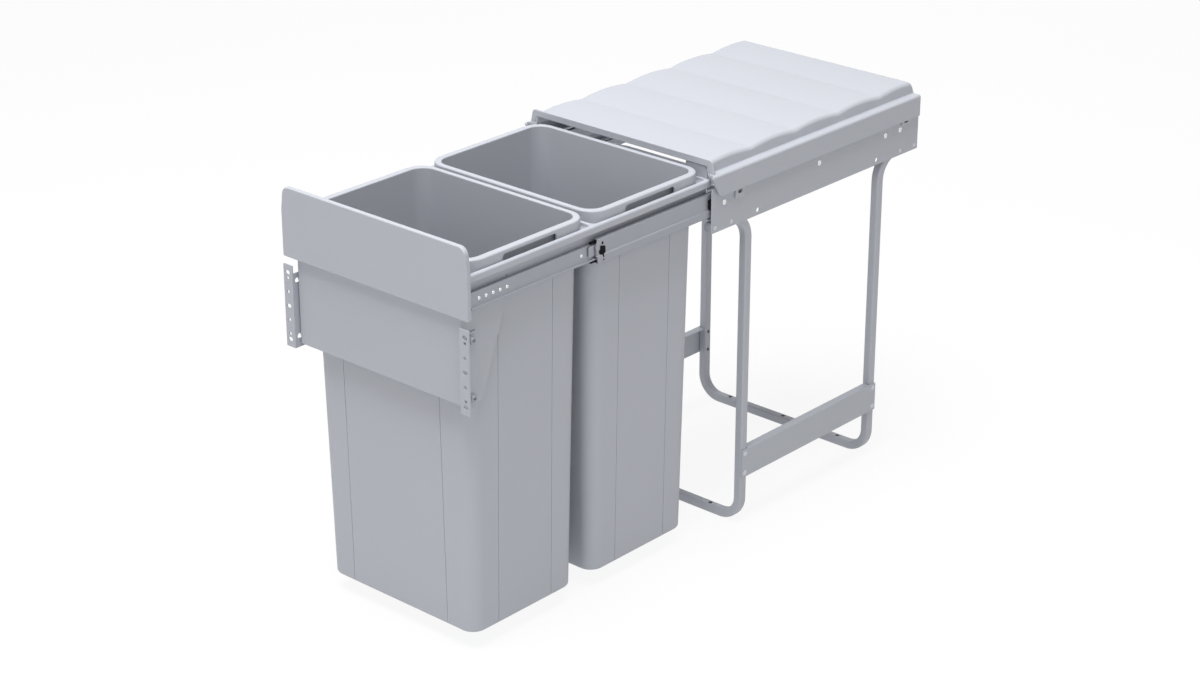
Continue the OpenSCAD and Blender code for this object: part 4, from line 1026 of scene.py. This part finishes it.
# Cover: one thin moulding of the same plastic over the frame, with a row of shallow arches, a ledge and a
# skirt down each side. A thicker frame edges its front, and clips on the skirts snap onto the side plates.
COVER_X = 131.0
TOP_X = 121.0
TOP_FLAT_XS = (0, 60)
COVER_T = 2.5
COVER_Y0 = -176.5
COVER_Y1 = 176.0
LEDGE_Y0 = -179.5
LEDGE_RUN = 2
SKIRT_Y0 = -184.0
SKIRT_SLANT = 14
SKIRT_FOOT_R = 3.5
SKIRT_RISES = (12, SKIRT_FOOT_R, 2.2, 1.2, 0.5, 0.15, 0)
LEDGE_Z = 420.0
SKIRT_Z = 396.0
VALLEY_Z = 430.4
ARCH_RISE = 3.0
ARCH_PITCH = 73.8
ARCH_N = 5
ARCH_SHIFT = 3.7
REAR_ROUND = 8.0
TOP_EDGE_R = 4.0
LEDGE_EDGE_R = 2.8
WALL_FOOT_R = 1.2
WALL_LEAN = 1.8
WALL_LEAST = 0.3
FRAME_Y = (-177.0, -174.5)
FRAME_HALF = 124.2
FRAME_FOOT = 128.0
FRAME_W = 5.4
FRAME_TOP = 434.9
FRAME_UNDER = 427.4
FRAME_CORNER = 4.0
FRAME_INNER_CORNER = 1.5
FRAME_EDGE = 0.8
EASE_STEPS = 6
CORNER_WEB = [(117.2, 428.8), (117.2, 416.5), (122.5, 417.5), (119.2, 428.8)]
CORNER_WEB_Y = (-174.8, -173.0)
CORNER_WEB_EDGE = 0.3
ROWS = 160
REAR_ROWS = 10
# place along the cover and drop below the skirt
CLIPS = ((-136, 10.5), (153, 5.5))
CLIP_HALF = 7
CLIP_RISE = 4
CLIP_NOTCH = 3.2
CLIP_CHAMFER = 1.2
CLIP_GAP = 0.2
CLIP_T = 2.0
CLIP_EDGE = 0.3


def arch_z(y):
    """Height of the arched top at one place along the cover, with its rear edge rounded down."""
    start = (COVER_Y0 + COVER_Y1 - ARCH_N * ARCH_PITCH) / 2 + ARCH_SHIFT
    along = ((y - start) % ARCH_PITCH) - ARCH_PITCH / 2
    radius = (ARCH_PITCH ** 2 / 4 + ARCH_RISE ** 2) / (2 * ARCH_RISE)
    z = VALLEY_Z + ARCH_RISE - radius + math.sqrt(radius ** 2 - along ** 2)
    past = min(max(y - COVER_Y1 + REAR_ROUND, 0), REAR_ROUND)
    return min(z, VALLEY_Z + ARCH_RISE - REAR_ROUND + math.sqrt(REAR_ROUND ** 2 - past ** 2))


def cover_column(top):
    """Outer and inner points of the cover's section, from its middle to the foot of its right skirt."""
    pairs = [((x, top), (x, top - COVER_T)) for x in TOP_FLAT_XS]
    edge = min(TOP_EDGE_R, top - LEDGE_Z - WALL_FOOT_R - WALL_LEAST)
    for a in quarter_turn(6):
        pairs.append([
            (TOP_X - edge + r * math.sin(a), top - edge + r * math.cos(a)) for r in (edge, edge - COVER_T)
        ])
    for a in quarter_turn(4):
        pairs.append([
            (TOP_X + WALL_FOOT_R - r * math.cos(a), LEDGE_Z + WALL_FOOT_R - r * math.sin(a))
            for r in (WALL_FOOT_R, WALL_FOOT_R + COVER_T)
        ])
    for a in quarter_turn(5):
        pairs.append([
            (COVER_X - LEDGE_EDGE_R + r * math.sin(a), LEDGE_Z - LEDGE_EDGE_R + r * math.cos(a))
            for r in (LEDGE_EDGE_R, LEDGE_EDGE_R - COVER_T)
        ])
    lean = WALL_LEAN / (top - LEDGE_Z)
    pairs = [[(x - min(x, 1) * lean * max(z - LEDGE_Z, 0), z) for x, z in pair] for pair in pairs]
    return pairs + [((COVER_X, SKIRT_Z + h), (COVER_X - COVER_T, SKIRT_Z + h)) for h in SKIRT_RISES]


def cover_front(x, z):
    """Where the sheet starts: at the front frame on top, further forward at the ledge, slanted below it."""
    if x <= TOP_X:
        return COVER_Y0
    ledge = min((x - TOP_X) / LEDGE_RUN, 1) * (COVER_Y0 - LEDGE_Y0)
    lead = ledge + max(x - COVER_X + LEDGE_EDGE_R, 0) / LEDGE_EDGE_R * (LEDGE_Y0 - SKIRT_Y0)
    slant = max(LEDGE_Z - z, 0) / (LEDGE_Z - SKIRT_Z) * SKIRT_SLANT
    low = min(max(SKIRT_FOOT_R - (z - SKIRT_Z), 0), SKIRT_FOOT_R)
    return COVER_Y0 - lead + slant + SKIRT_FOOT_R - math.sqrt(SKIRT_FOOT_R ** 2 - low ** 2)


def cover_sheet():
    """The cover's thin sheet: an outer and an inner skin, closed along their edges."""
    stations = [COVER_Y0 + k / ROWS * (COVER_Y1 - REAR_ROUND - COVER_Y0) for k in range(ROWS + 1)]
    stations += [COVER_Y1 - REAR_ROUND * (1 - math.sin(a)) for a in quarter_turn(REAR_ROWS)[1:]]
    work = bmesh.new()
    skins = []
    for y in stations:
        share = (y - COVER_Y0) / (COVER_Y1 - COVER_Y0)
        row = []
        for outer, inner in cover_column(arch_z(y)):
            start = cover_front(*outer) * (1 - share) + COVER_Y1 * share
            row.append([(x, start, z) for x, z in (outer, inner)])
        mirrored = [[(-x, y, z) for x, y, z in pair] for pair in reversed(row[1:])]
        skins.append([[work.verts.new(Vector(point) * MM) for point in pair] for pair in mirrored + row])
    last = len(skins[0]) - 1
    for low, high in zip(skins, skins[1:]):
        for k in range(last):
            work.faces.new((low[k][0], low[k + 1][0], high[k + 1][0], high[k][0]))
            work.faces.new((low[k][1], high[k][1], high[k + 1][1], low[k + 1][1]))
        for k in (0, last):
            work.faces.new((low[k][0], high[k][0], high[k][1], low[k][1]))
    for row in (skins[0], skins[-1]):
        for k in range(last):
            work.faces.new((row[k][0], row[k][1], row[k + 1][1], row[k + 1][0]))
    bmesh.ops.recalc_face_normals(work, faces=work.faces)
    mesh = bpy.data.meshes.new("cover sheet")
    work.to_mesh(mesh)
    work.free()
    return mesh


def eased(before, corner, after, reach):
    """Points that round one corner of an outline, starting and ending a given way from it."""
    before, corner, after = Vector(before), Vector(corner), Vector(after)
    start = corner + (before - corner).normalized() * reach
    end = corner + (after - corner).normalized() * reach
    steps = [k / EASE_STEPS for k in range(EASE_STEPS + 1)]
    return [tuple((1 - t) ** 2 * start + 2 * t * (1 - t) * corner + t ** 2 * end) for t in steps]


def front_frame():
    """The thicker frame round the cover's open front."""
    foot = LEDGE_Z - COVER_T
    outer = [(-FRAME_FOOT, foot), (-FRAME_HALF, FRAME_TOP), (FRAME_HALF, FRAME_TOP), (FRAME_FOOT, foot)]
    inner = [
        (FRAME_FOOT - FRAME_W, foot), (FRAME_HALF - FRAME_W, FRAME_UNDER),
        (FRAME_W - FRAME_HALF, FRAME_UNDER), (FRAME_W - FRAME_FOOT, foot),
    ]
    outline = [outer[0], *eased(*outer[:3], FRAME_CORNER), *eased(*outer[1:], FRAME_CORNER), outer[3]]
    outline.append(inner[0])
    outline += [*eased(*inner[:3], FRAME_INNER_CORNER), *eased(*inner[1:], FRAME_INNER_CORNER), inner[3]]
    return rounded(prism(outline, lambda x, z, y: (x, y, z), FRAME_Y), FRAME_EDGE, segments=3)


def corner_web():
    """A thin web behind the front frame's right corner, beside the way of the carrier's rear rib."""
    return rounded(prism(CORNER_WEB, lambda x, z, y: (x, y, z), CORNER_WEB_Y), CORNER_WEB_EDGE)


def cover_clip(s, y, drop):
    """A tab below the skirt with a notch in it, as a moulded snap has."""
    low, high = SKIRT_Z - drop, SKIRT_Z + CLIP_RISE
    mid = (low + SKIRT_Z) / 2
    foot = CLIP_HALF - CLIP_CHAMFER
    depths = (PLATE_X + CLIP_GAP, PLATE_X + CLIP_GAP + CLIP_T)
    outline = [
        (-CLIP_HALF, high), (-CLIP_HALF, low + CLIP_CHAMFER), (-foot, low), (foot, low),
        (CLIP_HALF, low + CLIP_CHAMFER), (CLIP_HALF, high),
        (CLIP_NOTCH, high), (CLIP_NOTCH, mid), (-CLIP_NOTCH, mid), (-CLIP_NOTCH, high),
    ]
    return rounded(prism(outline, lambda along, z, x: (s * x, y + along, z), depths), CLIP_EDGE)


clips = [cover_clip(s, y, drop) for side, s in SIDES for y, drop in CLIPS]
cover = smoothed(joined([cover_sheet(), front_frame(), corner_web(), *clips]))
piece("cover_moulding", cover, grey_plastic, "cabinet_frame", ["cover"])

# Floor: a plain sheet of white paper under the frame, which isn't part of the object. It takes the frame's
# shadow, and glows a little, more so to the camera, so that it looks white.
FLOOR_HALF = 6
FLOOR_DROP = 0.0005
PAPER_COLOUR = (0.68, 0.68, 0.68, 1)
GLOW = 1.05
GLOW_SHARE = 0.45
GLOW_SHARE_SEEN = 0.85

corners = [(-FLOOR_HALF, -FLOOR_HALF), (FLOOR_HALF, -FLOOR_HALF)]
corners += [(FLOOR_HALF, FLOOR_HALF), (-FLOOR_HALF, FLOOR_HALF)]
floor_mesh = bpy.data.meshes.new("floor")
floor_mesh.from_pydata([(x, y, -FLOOR_DROP) for x, y in corners], [], [(0, 1, 2, 3)])
floor = bpy.data.objects.new("floor", floor_mesh)
scene.collection.objects.link(floor)
paper = Finish("white paper floor", base_color=PAPER_COLOUR, roughness=0.9, specular_ior_level=0.0)
seen = paper.node("ShaderNodeLightPath", {}, {}, "Is Camera Ray")
share = GLOW_SHARE + seen * (GLOW_SHARE_SEEN - GLOW_SHARE)
lit = Shade(paper, paper.shader.outputs["BSDF"])
glow = paper.node("ShaderNodeEmission", {}, {"Strength": GLOW})
mixed = paper.node("ShaderNodeMixShader", {}, {0: share, 1: lit, 2: glow})
paper.join(paper.tree.nodes["Material Output"].inputs["Surface"], mixed)
floor_mesh.materials.append(paper.material)
